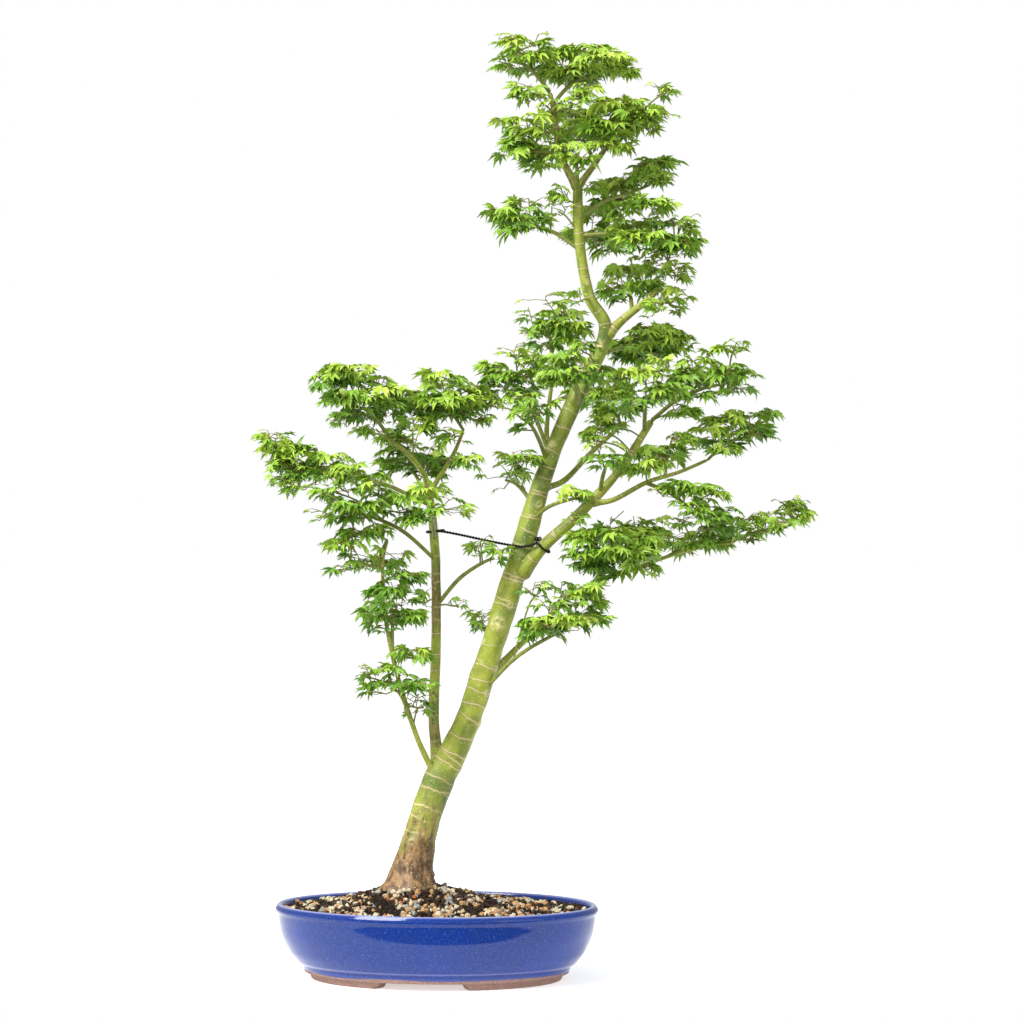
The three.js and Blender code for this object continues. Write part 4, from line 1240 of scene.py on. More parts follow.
@dataclass
class Foliage:
    """All the masses: fine shoots carry on the main twigs and bear leaves of the real size in pairs.

    Attributes:
        leaf: length of a leaf's middle lobe, 40 mm across the leaf.
        shoots: directions of a spray's shoots from the way ahead, in degrees. A finer twig has three.
        shoot: shortest and longest shoot, and the shortest that is kept where room is scarce.
        bare: share of a main twig below its first pair of leaves, and the share that ends them.
        node_step: between two pairs of leaves.
        stalk, stalk_radii: shortest and longest leaf stalk, and its radii from foot to leaf.
        variants: of the leaf's shape.
        thick: of a blade at its ribs, a little more than in life.
        lobes: direction of each lobe in degrees, and its length as a share of the leaf's.
        split_above: height above which the trunk's masses are a piece of their own.
        half_up: height of the middle of the crown. Leaves are painted brighter above it, as lit, and darker
            below it, as shaded.
        tone, by_chance: brightness of a leaf amid its mass at that height, and its spread.
        by_height, by_storey, by_rim: how much brighter it is painted further up, and at its mass's top and
            rim, as lit.
        blade_seed, spray_seed: of the first variant and of the first mass.
    """

    leaf: float = 18.0
    shoots: Row = (0, 36, -36, 76, -76)
    shoot: Triple = (12, 40, 4)
    bare: Pair = (0.5, 0.95)
    node_step: float = 10.0
    stalk: Pair = (7.0, 14.0)
    stalk_radii: Triple = (0.48, 0.36, 0.42)
    variants: int = 8
    thick: float = 0.45
    lobes: tuple[Pair, ...] = (
        (-118, 0.52), (-78, 0.8), (-39, 0.97), (0, 1.04), (39, 0.97), (78, 0.8), (118, 0.52),
    )
    split_above: float = 800.0
    half_up: float = 640.0
    tone: float = 0.462
    by_height: float = 0.19
    by_storey: float = 0.25
    by_rim: float = 0.14
    by_chance: float = 0.09
    blade_seed: int = 100
    spray_seed: int = 500
    growth: Growth = field(default_factory=Growth)

    def blade(self, seed: int) -> Shell:
        """One leaf as a closed blade: seven pointed lobes, each folded along its rib, with a tooth a side.

        A lobe of length l has its rib at 0.5 l. On each side its edge runs from the notch at about 0.3 of the
        leaf to a tooth at 0.6 l, in again at 0.67 l, and to the tip at l. The whole sinks with the square of
        the distance from the stalk.

        Args:
            seed: of the leaf's own droop, fold and unevenness.

        Returns:
            The leaf, about the end of its stalk, x ahead and z up, with its middle lobe about 1 long.
        """
        rng = np.random.default_rng(seed)
        thick = self.thick / self.leaf
        droop, fold = rng.uniform(0.05, 0.32), rng.uniform(0.35, 0.9)
        points, tris = [(0.0, 0.0, 0.02), (0.0, 0.0, 0.02 - thick)], []

        def point(angle: float, along: float, side: float, lift: float, sink: float) -> int:
            """Adds a corner at a place on a lobe, and gives its number."""
            x = along * math.cos(angle) - side * math.sin(angle)
            y = along * math.sin(angle) + side * math.cos(angle)
            points.append((x, y, lift - sink * (x * x + y * y)))
            return len(points) - 1

        def both(a: int, b: int, c: int, under: dict[int, int]) -> None:
            """Adds a face on top and its like underneath, where ribs have their own corners."""
            tris.append((a, b, c))
            tris.append(tuple(under.get(k, k) for k in (c, b, a)))

        angles = [math.radians(degrees + rng.normal(0, 3.5)) for degrees, _ in self.lobes]
        notches = [point(math.pi, 0.07, 0, 0.0, 0)]
        for one, other in zip(angles, angles[1:]):
            notches.append(point((one + other) / 2, rng.uniform(0.27, 0.34), 0, 0.05 + 0.04 * fold, droop))
        notches.append(notches[0])
        for i, (angle, (_, share)) in enumerate(zip(angles, self.lobes)):
            length = share * rng.uniform(0.9, 1.08)
            sink = droop + rng.uniform(-0.08, 0.22)
            wide = 0.165 * length * rng.uniform(0.9, 1.15)
            bend = rng.normal(0, 0.05)
            rib = point(angle, 0.5 * length, bend * length, 0.0, sink)
            points.append((points[rib][0], points[rib][1], points[rib][2] - thick))
            tip = point(angle, length, 2.2 * bend * length, 0.0, sink)
            under = {0: 1, rib: rib + 1}
            for side, notch in ((-1, notches[i]), (1, notches[i + 1])):
                tooth = point(angle, 0.6 * length, side * wide + bend * length, fold * wide, sink)
                aside = side * 0.62 * wide + bend * length
                inner = point(angle, 0.67 * length, aside, 0.5 * fold * wide, sink)
                ring = [0, notch, rib, tooth, inner, tip]
                fan = [(0, 1, 2), (1, 3, 2), (3, 4, 2), (4, 5, 2)]
                for a, b, c in fan:
                    corners = (ring[a], ring[b], ring[c])
                    both(*(corners if side < 0 else corners[::-1]), under)
        return Shell(np.array(points), tris=np.array(tris))

    def spray(self, space: Space, twig: Twig, rng: Rng, into: Sprays) -> None:
        """Shoots, stalks and leaves on one main twig.

        Args:
            space: of the mass.
            twig: the main twig.
            rng: the mass's own random numbers.
            into: what has grown so far.
        """
        twig.tone = rng.normal(0, 0.1)
        twig.loose = rng.uniform(*space.loose)
        before = len(into.leaves)
        shortest, longest, least = self.shoot
        span = float(norm(twig.end - twig.start))
        bow = (twig.start + twig.end) / 2 + UP * 0.06 * span
        into.shoots.append(self.bowed(twig.start, bow, twig.end))
        into.shoot_radii.append(np.linspace(twig.foot, twig.tip, 4))
        for share in np.arange(*self.bare, self.node_step / max(span, 1)):
            self.pair(space, twig, twig.start + share * (twig.end - twig.start), twig.ahead, rng, into)
        for degrees in self.shoots[:3] if twig.finer else self.shoots:
            heading = turned(twig.ahead, math.radians(degrees + rng.normal(0, 9)))
            way = unit(heading + rng.uniform(-0.08, 0.3) * UP)
            start = twig.end + (twig.start - twig.end) * rng.uniform(0, 0.12)
            room = space.room(start, way, twig.loose) - 0.7 * self.leaf
            length = min(rng.uniform(shortest, longest), room)
            if length < least:
                continue
            end = start + way * length - UP * 0.1 * length
            middle = start + way * length / 2 + UP * 0.05 * length
            grown = len(into.leaves)
            nodes = max(1, round(length / self.node_step))
            for k in range(nodes):
                share = (k + 1) / nodes
                at = (1 - share) ** 2 * start + 2 * share * (1 - share) * middle + share**2 * end
                self.pair(space, twig, at, heading, rng, into)
            self.leaf_on(space, twig, end, heading, rng, into, young=0.8)
            if len(into.leaves) > grown:
                into.shoots.append(self.bowed(start, middle, end))
                into.shoot_radii.append(np.linspace(0.75 * twig.tip, 0.42, 4))
        if len(into.leaves) == before:
            self.leaf_on(space, twig, twig.end, twig.ahead, rng, into, young=0.7, squeeze=True)

    def bowed(self, start: Array, middle: Array, end: Array) -> Array:
        """Four points on the curve from start to end that middle pulls towards itself."""
        t = np.linspace(0, 1, 4)[:, None]
        return (1 - t) ** 2 * start + 2 * t * (1 - t) * middle + t**2 * end

    def pair(self, space: Space, twig: Twig, at: Array, heading: Array, rng: Rng, into: Sprays) -> None:
        """Two leaves opposite each other at one node."""
        open_by = math.radians(rng.uniform(42, 88))
        for side in (-1, 1):
            aim = turned(heading, side * open_by + rng.normal(0, 0.2))
            self.leaf_on(space, twig, at, aim, rng, into)

    def leaf_on(self, space: Space, twig: Twig, at: Array, aim: Array, rng: Rng,
                into: Sprays, young: float = 1.0, squeeze: bool = False) -> None:
        """One stalk and leaf, unless it has no room.

        Args:
            space: of the mass.
            twig: that bears the spray.
            at: the node.
            aim: level direction of the stalk.
            rng: random numbers.
            into: what has grown so far.
            young: how large the leaf is.
            squeeze: whether it grows, small, even where it has little room.
        """
        rise = rng.uniform(-0.1, 0.45)
        way = unit(aim + rise * UP)
        stalk = rng.uniform(*self.stalk) * young
        end = at + way * stalk
        size = young * self.leaf * rng.uniform(0.82, 1.12)
        offset = space.offset(end)
        planar = math.hypot(offset[0], offset[1])
        tilt = math.radians(rng.uniform(-20, 24) + 8 * planar)
        forward = unit(aim * [1, 1, 0]) * math.cos(tilt) - UP * math.sin(tilt)
        room = space.room(end, forward, twig.loose)
        if self.opening(end + forward * size / 2):
            return
        if not squeeze and (room < 0.6 * size or not self.growth.clear(space, end[None])):
            return
        size = max(0.5 * size, min(size, room + 2))
        middle = (at + end) / 2 + UP * 0.12 * stalk
        into.stalks.append(np.stack([at, middle, end]))
        # Painted light and shade: the leaf's tint is lighter higher up in the plant and at its mass's top and
        # rim, darker inside and lower down.
        sunny = self.tone + self.by_height * (end[2] - self.half_up) / self.half_up
        sunny += self.by_storey * offset[2] + self.by_rim * planar
        bright = sunny + twig.tone + rng.normal(0, self.by_chance)
        into.leaves.append((*end, *forward, rng.normal(0, 0.4), size, bright))

    def opening(self, place: Array) -> bool:
        """Whether a leaf there would stand before or behind an opening."""
        away = (place[[0, 2]] - OPENINGS[:, :2]) / OPENINGS[:, 2:]
        return bool((norm(away, axis=1) < 1).any())

    def turns(self, table: Array) -> Array:
        """Each leaf's turn: x goes forward, y to its left, rolled a little, and z up from the blade."""
        forward, roll = table[:, 3:6], table[:, 6:7]
        left = unit(np.cross(UP, forward))
        up = np.cross(forward, left)
        rolled = np.cos(roll) * left + np.sin(roll) * up
        return np.stack([forward, rolled, np.cross(forward, rolled)], axis=-1)

    def build(self) -> None:
        """The leaves of each limb's masses as one piece, and their twigs as another."""
        masses = [Space(name, limb, share, np.array(centre, float), np.array(reach, float), rise)
                  for name, limb, share, centre, reach, rise in MASSES]
        sprigs = [Space(f"sprig_{k}", limb, share, np.array(centre, float), np.array(reach, float), 0,
                        foot=1.0, loose=(0.0, 9.0))
                  for k, (limb, share, centre, reach) in enumerate(SPRIGS)]
        spaces = masses + sprigs
        blades = [self.blade(self.blade_seed + k) for k in range(self.variants)]
        tints = [Finish(f"leaf_{tint.name.lower()}", *tint.value, mottle_mm=7.0, grain_mm=1.6, relief_mm=0.22,
                        roughness=0.42).material() for tint in Blade]
        wood = [TWIG_BARK.material(), STALK.material()]
        for group, members in self.groups(spaces).items():
            sprays, stems = Sprays(), []
            for index in members:
                route, twigs = self.growth.grow(spaces[index], masses, index + 1)
                stems.append(route)
                rng = np.random.default_rng(self.spray_seed + index)
                for twig in twigs:
                    self.spray(spaces[index], twig, rng, sprays)
            LOG.info("%s: %d leaves", group, len(sprays.leaves))
            self.wood(group, stems, sprays, wood)
            piece = self.leafage(group, sprays, blades, tints)
            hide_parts(*("leaves_" + masses[index].name for index in members if index < len(masses)))

    def groups(self, spaces: list[Space]) -> dict[str, list[int]]:
        """The numbers of the spaces on each limb. The trunk's high ones are the leader's."""
        groups: dict[str, list[int]] = {}
        group_of: dict[str, str] = {}
        for index, space in enumerate(spaces):
            high = space.limb == "trunk" and space.centre[2] > self.split_above
            group = "leader" if high else group_of.get(space.limb, space.limb)
            group_of["leaves_" + space.name] = group
            groups.setdefault(group, []).append(index)
        return groups

    def wood(self, limb: str, stems: list[Route], sprays: Sprays, materials: list[Material]) -> None:
        """The stems, twigs and stalks on a limb as one piece."""
        shares = np.linspace(0, 1, 12)
        lines = np.stack([route.at(shares) for route in stems])
        radii = np.stack([route.radius(shares) for route in stems])
        stalk_radii = np.tile(self.stalk_radii, (len(sprays.stalks), 1))
        shell = Shell.join([
            tubes(lines, radii, 8).tint(0),
            tubes(np.stack(sprays.shoots), np.stack(sprays.shoot_radii), 4).tint(0),
            tubes(np.stack(sprays.stalks), stalk_radii, 3).tint(1),
        ])
        shell.corners = in_frame(shell.corners)
        piece = shell.build(f"{limb}_twigs", materials, smooth=True)

    def leafage(self, limb: str, sprays: Sprays, blades: list[Shell],
                materials: list[Material]) -> Piece:
        """The leaves on a limb as one piece, its tints, painted light and shade, dealt out by spray and by
        height in the mass.
        """
        table = np.array(sprays.leaves)
        # Each leaf takes the tint of its brightness: painted light and shade.
        tint = np.clip((table[:, 8] * len(Blade)).astype(int), 0, len(Blade) - 1)
        turns = self.turns(table)
        shells = []
        for k, blade in enumerate(blades):
            mine = np.arange(len(table)) % len(blades) == k
            if not mine.any():
                continue
            shell = copies(blade, table[mine, :3], turns[mine], table[mine, 7])
            shell.tri_tints = np.repeat(tint[mine], len(blade.tris))
            shells.append(shell)
        whole = Shell.join(shells)
        whole.corners = in_frame(whole.corners)
        piece = whole.build(f"{limb}_leaves", materials, smooth=False)
        return piece


# ---- Pot and soil ----


@dataclass
class Pot:
    """The oval pot: a glazed bowl with a rolled lip, over an unglazed foot band with two C-shaped feet.

    Attributes:
        length, width: of the oval, over the lip.
        turn: of its long axis about +Z, in degrees.
        segments: round the oval.
        outside_points, inside_points: of the smoothed outline.
        floor: height of the bowl's floor.
        glaze_from: height at which the glaze ends.
        thin: height of an edge where the glaze is thin, how thin, and how far up and down.
        foot_height, foot_rim: of the bare underside, and how far the feet go up into it.
        foot_outside, foot_inside: of the feet's ovals, as shares of the pot's.
        foot_power: of their section, towards 0 for a squarer one.
        foot_slant, cut_out: slant of their ends, and half the gap between them, in degrees.
    """

    length: float = 374.0
    width: float = 284.0
    turn: float = -8.0
    segments: int = 224
    outside_points: int = 88
    inside_points: int = 40
    floor: float = 18.0
    glaze_from: float = 11.6
    thin: tuple[Triple, ...] = ((86.2, 1.0, 1.1), (19.4, 0.25, 0.8), (13.0, 0.1, 1.2))
    foot_height: float = 8.0
    foot_rim: float = 1.1
    foot_outside: float = 0.79
    foot_inside: float = 0.66
    foot_power: float = 0.28
    foot_slant: float = 1.6
    cut_out: float = 21.0

    # [share of half the length, z] from the bare underside to the lip's top, and down the inside to the floor
    outside: tuple[Pair, ...] = (
        (0.806, 8.0), (0.815, 8.5), (0.823, 11.6), (0.832, 16.0), (0.8365, 17.4), (0.842, 18.0),
        (0.8535, 18.8), (0.866, 20.8), (0.882, 24.2), (0.911, 31), (0.93, 37.5), (0.947, 44), (0.96, 50),
        (0.969, 56), (0.9775, 65), (0.983, 72.2), (0.987, 75.2), (0.995, 77.2), (0.9995, 79.2),
        (0.9985, 81.0), (0.9875, 84.2), (0.983, 85.4), (0.977, 86),
    )
    inside: tuple[Pair, ...] = (
        (0.97, 86), (0.959, 85.4), (0.951, 83.4), (0.946, 80), (0.938, 66), (0.925, 48), (0.87, 31),
        (0.8, 18.6), (0.77, 18),
    )

    def rounded(self, rows: tuple[Pair, ...], count: int) -> Array:
        """A smooth line through the rows of an outline."""
        half = self.length / 2
        route = Route([(share * half, z, 0, 0) for share, z in rows])
        line = route.at(np.linspace(0, 1, count))
        return np.stack([line[:, 0] / half, line[:, 1]], axis=-1)

    def turn_to_frame(self, corners: Array) -> Array:
        """The pot's own millimetres as metres in the part's frame."""
        return in_frame(turned(corners, math.radians(self.turn)))

    def bowl(self) -> Piece:
        """The bowl. The glaze ends in an uneven edge, and breaks where the mesh says that it is thin."""
        outline = np.vstack([
            [[0, self.foot_height], [0.4, self.foot_height]], self.rounded(self.outside, self.outside_points),
            self.rounded(self.inside, self.inside_points), [[0.4, self.floor], [0, self.floor]],
        ])
        shell = revolved(outline, self.length / 2, self.width / 2, self.segments)
        z = shell.corners[:, 2]
        angle = np.arctan2(shell.corners[:, 1], shell.corners[:, 0])
        edge_row = int(np.argmin(np.abs(outline[1 : self.outside_points, 1] - self.glaze_from)))
        row = np.repeat(np.arange(len(outline) - 2), self.segments)
        outer = row <= self.outside_points
        wavy = 0.7 * Wander(3)(angle[: len(row)], 0 * angle[: len(row)], 1.4, 1)
        near_edge = np.exp(-(((row - edge_row) / 1.6) ** 2))
        shell.corners[: len(row), 2] += near_edge * wavy
        thin = sum(share * np.exp(-(((z - height) / reach) ** 2)) for height, share, reach in self.thin)
        thin = np.clip(thin, 0, 0.9)
        thin[: len(row)] *= outer | (z[: len(row)] > 70)
        shell.values["thin"] = thin
        shell.quad_tints = (row[: len(shell.quads)] < edge_row).astype(int)
        shell.tri_tints = np.r_[np.ones(self.segments, int), np.zeros(self.segments, int)]
        shell.corners = self.turn_to_frame(shell.corners)
        return shell.build("pot_bowl", [GLAZE.material(), CLAY.material()], smooth=True)

    def foot(self, side: int, clay: Material) -> Piece:
        """One C-shaped foot: a rounded block swept round an end of the oval, slanted at both ends.

        Its section is a superellipse: cos and sin of the angle, each to the power that squares it.

        Args:
            side: 1 for the foot on the right, -1 for the one on the left.
            clay: of the bare foot.

        Returns:
            The piece.
        """
        wide = (self.foot_outside - self.foot_inside) * self.length / 2
        angle = np.linspace(0, 2 * math.pi, 33)[:-1]
        across = np.sign(np.cos(angle)) * np.abs(np.cos(angle)) ** self.foot_power * wide / 2
        height = (self.foot_height + self.foot_rim) / 2
        z = height + np.sign(np.sin(angle)) * np.abs(np.sin(angle)) ** self.foot_power * height
        taper = 1 - 0.025 * (1 - z / (2 * height))
        middle = (self.foot_outside + self.foot_inside) / 2 * self.length / 2
        half = math.radians(90 - self.cut_out)
        along = np.sin(np.linspace(-math.pi / 2, math.pi / 2, 90))
        slant = math.radians(self.foot_slant) * (z / height - 1)
        turn = along[:, None] * (half + slant[None]) + (0 if side > 0 else math.pi)
        radius = (middle + across)[None] * taper[None]
        squash = self.width / self.length
        ring = np.stack([radius * np.cos(turn), radius * squash * np.sin(turn), z[None] + 0 * turn], axis=-1)
        lines = ring.mean(axis=1)[None]
        shell = tubes(lines, np.ones((1, len(along))), len(angle))
        shell.corners = np.vstack([ring.reshape(-1, 3), ring[0].mean(0), ring[-1].mean(0)])
        shell.quads = shell.quads[:, ::-1]
        shell.tris = shell.tris[:, ::-1]
        shell.corners = self.turn_to_frame(shell.corners)
        name = "right" if side > 0 else "left"
        return shell.build(f"pot_{name}_foot", [clay], smooth=True)

    def build(self) -> None:
        """The bowl and its feet, in place of the pot's solid."""
        bowl = self.bowl()
        clay = bowl.data.materials[1]
        for piece in (bowl, self.foot(-1, clay), self.foot(1, clay)):
            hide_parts("pot")


@dataclass
class Soil:
    """The soil: a low mound that rises to the trunk, covered with loose grains of several kinds.

    Attributes:
        pot, foot: that it fills, and x and y of the trunk's foot.
        rim, seat: height of the mound at the pot's wall and at the trunk.
        seat_radius: of the level top round the trunk.
        drop: power of the slope between them.
        edge: half the mound's length as a share of the pot's.
        pitch, jitter: between two grains of the top layer, and how far they stray, as a share of it.
        sunk: lowest and highest place of a grain's middle over the mound, as shares of its size.
        patchy: how much the dark and the pale grains lie in patches of their own.
        shapes, shape_seed: of each kind of grain, and of the first of them.
    """

    pot: Pot
    foot: Pair = (-33.0, 0.0)
    rim: float = 79.0
    seat: float = 102.5
    seat_radius: float = 42.0
    drop: float = 1.7
    edge: float = 0.945
    pitch: float = 4.2
    jitter: float = 0.45
    sunk: Pair = (-0.35, 0.25)
    patchy: float = 0.26
    shapes: int = 6
    shape_seed: int = 40

    def height(self, x: Array, y: Array) -> Array:
        """The mound's height: rim + (seat - rim) * (1 - outward) ** drop, outward counted from the seat."""
        half, deep = self.edge * self.pot.length / 2, self.edge * self.pot.width / 2
        foot = turned(np.array([*self.foot, 0.0]), math.radians(-self.pot.turn))
        share = np.clip(np.hypot(x / half, y / deep), 0, 1)
        off = np.hypot(x - foot[0] * (1 - share), y - foot[1] * (1 - share))
        wall = np.hypot(x, y) / np.maximum(share, 1e-6)
        outward = np.clip((off - self.seat_radius) / np.maximum(wall - self.seat_radius, 1), 0, 1)
        return self.rim + (self.seat - self.rim) * (1 - outward) ** self.drop

    def bed(self) -> Piece:
        """The dark body of the soil, under the grains."""
        pot = self.pot
        rings = np.linspace(self.edge, 0.0, 30)
        outline = np.vstack([[[0, 18.4], [0.7, 18.4], [0.79, 19.2], [0.85, 30], [0.915, 48]],
                             np.stack([rings, np.full(30, self.rim)], axis=-1)])
        shell = revolved(outline, pot.length / 2, pot.width / 2, 120)
        top = shell.corners[:, 2] > self.rim - 1
        x, y = shell.corners[top, 0], shell.corners[top, 1]
        bumps = 0.9 * np.sin(x / 3.1) * np.cos(y / 2.7)
        shell.corners[top, 2] = self.height(x, y) - 2.2 + bumps
        shell.corners = pot.turn_to_frame(shell.corners)
        soil = Finish("damp_soil", "#2a1f17", "#17110d", 5.0, 2.0, 0.8, 0.95).material()
        return shell.build("soil_bed", [soil], smooth=True)

    def pebble(self, seed: int, fine: bool) -> Shell:
        """A grain: a sphere of 20 or 80 faces whose corners are pushed in and out, flattened a little.

        Args:
            seed: of its own lumps.
            fine: whether it has 80 faces. The flakes of bark have 20, and are longer and flatter.

        Returns:
            The grain, about its middle, 1 across before it is flattened.
        """
        rng = np.random.default_rng(seed)
        golden = (1 + math.sqrt(5)) / 2
        base = [(s, t * golden, 0.0) for s in (-1, 1) for t in (-1, 1)]
        corners = unit(np.array(base + [(z, x, y) for x, y, z in base] + [(y, z, x) for x, y, z in base]))
        near = norm(corners[:, None] - corners[None], axis=-1)
        reach = near[near > 0.1].min() * 1.1
        tris = [(a, b, c) for a in range(12) for b in range(a + 1, 12) for c in range(b + 1, 12)
                if near[a, b] < reach and near[b, c] < reach and near[a, c] < reach]
        if fine:
            points, halves, finer = list(corners), {}, []

            def half(a: int, b: int) -> int:
                """The number of the corner halfway between two."""
                key = (min(a, b), max(a, b))
                if key not in halves:
                    halves[key] = len(points)
                    points.append(unit((points[a] + points[b]) / 2))
                return halves[key]

            for a, b, c in tris:
                ab, bc, ca = half(a, b), half(b, c), half(c, a)
                finer += [(a, ab, ca), (ab, b, bc), (ca, bc, c), (ab, bc, ca)]
            corners, tris = np.array(points), finer
        tris = np.array(tris)
        a, b, c = (corners[tris[:, k]] for k in range(3))
        inward = np.einsum("ij,ij->i", np.cross(b - a, c - a), a + b + c) < 0
        tris[inward] = tris[inward][:, ::-1]
        lumps = 1 + 0.16 * np.sin(corners @ rng.normal(0, 2.6, 3) + rng.uniform(0, 6))
        rough = rng.uniform(0.74, 1.16, len(corners))
        squash = rng.uniform(0.6, 1.0, 3) if fine else np.array([1.5, 0.8, 0.5])
        return Shell(0.5 * corners * (lumps * rough)[:, None] * squash, tris=tris)

    def grains(self) -> None:
        """Grains of each kind, strewn over the mound on a jittered grid."""
        rng = np.random.default_rng(11)
        half, deep = self.edge * self.pot.length / 2, self.edge * self.pot.width / 2
        x, y = np.meshgrid(np.arange(-half, half, self.pitch), np.arange(-deep, deep, self.pitch))
        x = x.ravel() + rng.uniform(-self.jitter, self.jitter, x.size) * self.pitch
        y = y.ravel() + rng.uniform(-self.jitter, self.jitter, y.size) * self.pitch
        inside = np.hypot(x / (half - 2), y / (deep - 2)) < 1
        x, y = x[inside], y[inside]
        patch = Wander(8)(x / 30, y, 1, 60)
        order = np.argsort(rng.uniform(0, 1, len(x)) + self.patchy * patch)
        dark = int(len(x) * (Grain.BARK_FINES.value[0] + Grain.LAVA.value[0]))
        order[dark:] = rng.permutation(order[dark:])
        shares = np.cumsum([kind.value[0] for kind in Grain])
        bounds = np.r_[0, np.round(shares * len(x)).astype(int)]
        for kind, start, stop in zip(Grain, bounds, bounds[1:]):
            _, one, other, (low, high) = kind.value
            mine = order[start:stop]
            size = rng.uniform(low, high, len(mine))
            fine = kind is not Grain.BARK_FINES
            lift = (rng.uniform(*self.sunk, len(mine)) + (0 if fine else 0.15)) * size
            places = np.stack([x[mine], y[mine], self.height(x[mine], y[mine]) + lift], axis=-1)
            turns = np.linalg.qr(rng.normal(size=(len(mine), 3, 3)))[0]
            turns *= np.sign(np.linalg.det(turns))[:, None, None]
            shells = []
            for k in range(self.shapes):
                some = np.arange(len(mine)) % self.shapes == k
                pebble = self.pebble(self.shape_seed + k, fine)
                shells.append(copies(pebble, places[some], turns[some], size[some]))
            shell = Shell.join(shells)
            shell.corners = self.pot.turn_to_frame(shell.corners)
            name = kind.name.lower()
            finish = Finish(f"{name}_grain", one, other, mottle_mm=3.0, grain_mm=0.7, relief_mm=0.3,
                            roughness=0.9)
            piece = shell.build(f"soil_{name}", [finish.material()], smooth=False)
            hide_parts("soil")

    def build(self) -> None:
        """The bed and the grains, in place of the soil's solid."""
        bed = self.bed()
        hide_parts("soil")
        self.grains()


# ---- Training tie ----


@dataclass(frozen=True)
class Loop:
    """Part of a turn of the twine round a limb. Places round it count from its left, over its front.

    Attributes:
        limb, share: that it goes round, and the share of its length there.
        start, turns: where it starts and how far it goes, as shares of a turn.
        bears, slack: where it rests on the limb, and how much further off it stands on the far side.
    """

    limb: str
    share: float
    start: float
    turns: float
    bears: float
    slack: float


@dataclass
class Tie:
    """The twine that holds the left stem to the trunk and to the right bough: two strands laid together.

    Attributes:
        radius: of the two strands together.
        clear, sag: gap from a limb, and how far a straight step of a loop would lie inside the round.
        steps_per_turn: points of a loop.
        left, right: the loops round the left stem and round the right bough.
        front_share, front_clear: of the trunk's length, where the twine crosses it, and the gap there.
        front_droop: how much lower the twine hangs there.
        lay: length of one turn of the strands round each other.
        points: of a strand along its length.
        knot_size, knot_radius: of the trefoil, for 1 in its formula, and of its twine.
    """

    radius: float = 1.6
    clear: float = 0.3
    sag: float = 0.7
    steps_per_turn: int = 8
    left: Loop = Loop("left_stem", 0.86, start=0.5, turns=0.85, bears=0.0, slack=4.4)
    right: Loop = Loop("right_bough", 0.18, start=0.15, turns=0.75, bears=0.5, slack=2.6)
    front_share: float = 0.49
    front_clear: float = 1.5
    front_droop: float = 3.0
    lay: float = 7.0
    points: int = 420
    knot_size: float = 1.25
    knot_radius: float = 0.95

    def loop(self, loop: Loop) -> Array:
        """Points of a loop, resting on its limb on the side where it bears."""
        route = ROUTES[loop.limb]
        here = route.at(loop.share)
        axis = unit(route.at(loop.share + 0.004) - route.at(loop.share - 0.004))
        across = unit(np.cross([0, -1, 0], axis))
        front = np.cross(axis, across)
        count = round(loop.turns * self.steps_per_turn)
        angle = 2 * math.pi * (loop.start + loop.turns * np.arange(count + 1) / count)
        rest = float(route.radius(loop.share)) + self.clear + self.radius + self.sag
        reach = rest + loop.slack * (1 - np.cos(angle - 2 * math.pi * loop.bears)) / 2
        return here + (reach * np.cos(angle))[:, None] * across + (reach * np.sin(angle))[:, None] * front

    def route(self) -> Route:
        """The whole way: round the left stem, across the trunk's front and round the right bough."""
        trunk = ROUTES["trunk"]
        front = trunk.at(self.front_share)
        away = float(trunk.radius(self.front_share)) + self.front_clear + self.radius
        front = front - [0, away, self.front_droop]
        points = np.vstack([self.loop(self.left), front[None], self.loop(self.right)])
        return Route([[*point, self.radius] for point in points])

    def build(self) -> None:
        """The two strands and the knot, in place of the strap's solid."""
        route = self.route()
        shares = np.linspace(0, 1, self.points)
        line = route.at(shares)[None]
        across, front = frames_of(line)
        phase = 2 * math.pi * shares * route.length / self.lay
        thin = self.radius / 2
        shells = []
        for start in (0, math.pi):
            aside = np.cos(phase + start)[:, None] * across[0] + np.sin(phase + start)[:, None] * front[0]
            shells.append(tubes((line[0] + thin * aside)[None], np.full((1, self.points), thin), 8))
        shells.append(self.knot(route.at(1.0)))
        shell = Shell.join(shells)
        shell.corners = in_frame(shell.corners)
        piece = shell.build("training_twine", [TWINE.material()], smooth=True)
        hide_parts("training_tie")

    def knot(self, middle: Array) -> Shell:
        """A knot of the twine: a trefoil drawn tight, (sin t + 2 sin 2t, -1.2 sin 3t, cos t - 2 cos 2t)."""
        t = np.linspace(0, 2 * math.pi, 90)
        x, z = np.sin(t) + 2 * np.sin(2 * t), np.cos(t) - 2 * np.cos(2 * t)
        curve = np.stack([x, -1.2 * np.sin(3 * t), z], axis=-1)
        return tubes((middle + self.knot_size * curve)[None], np.full((1, len(t)), self.knot_radius), 8)


# ---- Studio ----


@dataclass(frozen=True)
class Lamp:
    """A square soft light that looks at the middle of the plant.

    Attributes:
        name: of the light.
        place, size: where it is and how wide, in metres.
        power: in watts.
        mirrored: whether gloss mirrors it.
    """

    name: str
    place: Triple
    size: float
    power: float
    mirrored: bool = True

    def build(self, aim: Triple) -> None:
        """The lamp, turned to the place that it aims at."""
        data = bpy.data.lights.new(self.name, "AREA")
        data.shape, data.size, data.energy = "SQUARE", self.size, self.power
        lamp = placed(self.name, data)
        lamp.location = Vector(self.place)
        lamp.visible_glossy = self.mirrored
        lamp.rotation_euler = (Vector(aim) - lamp.location).to_track_quat("-Z", "Y").to_euler()


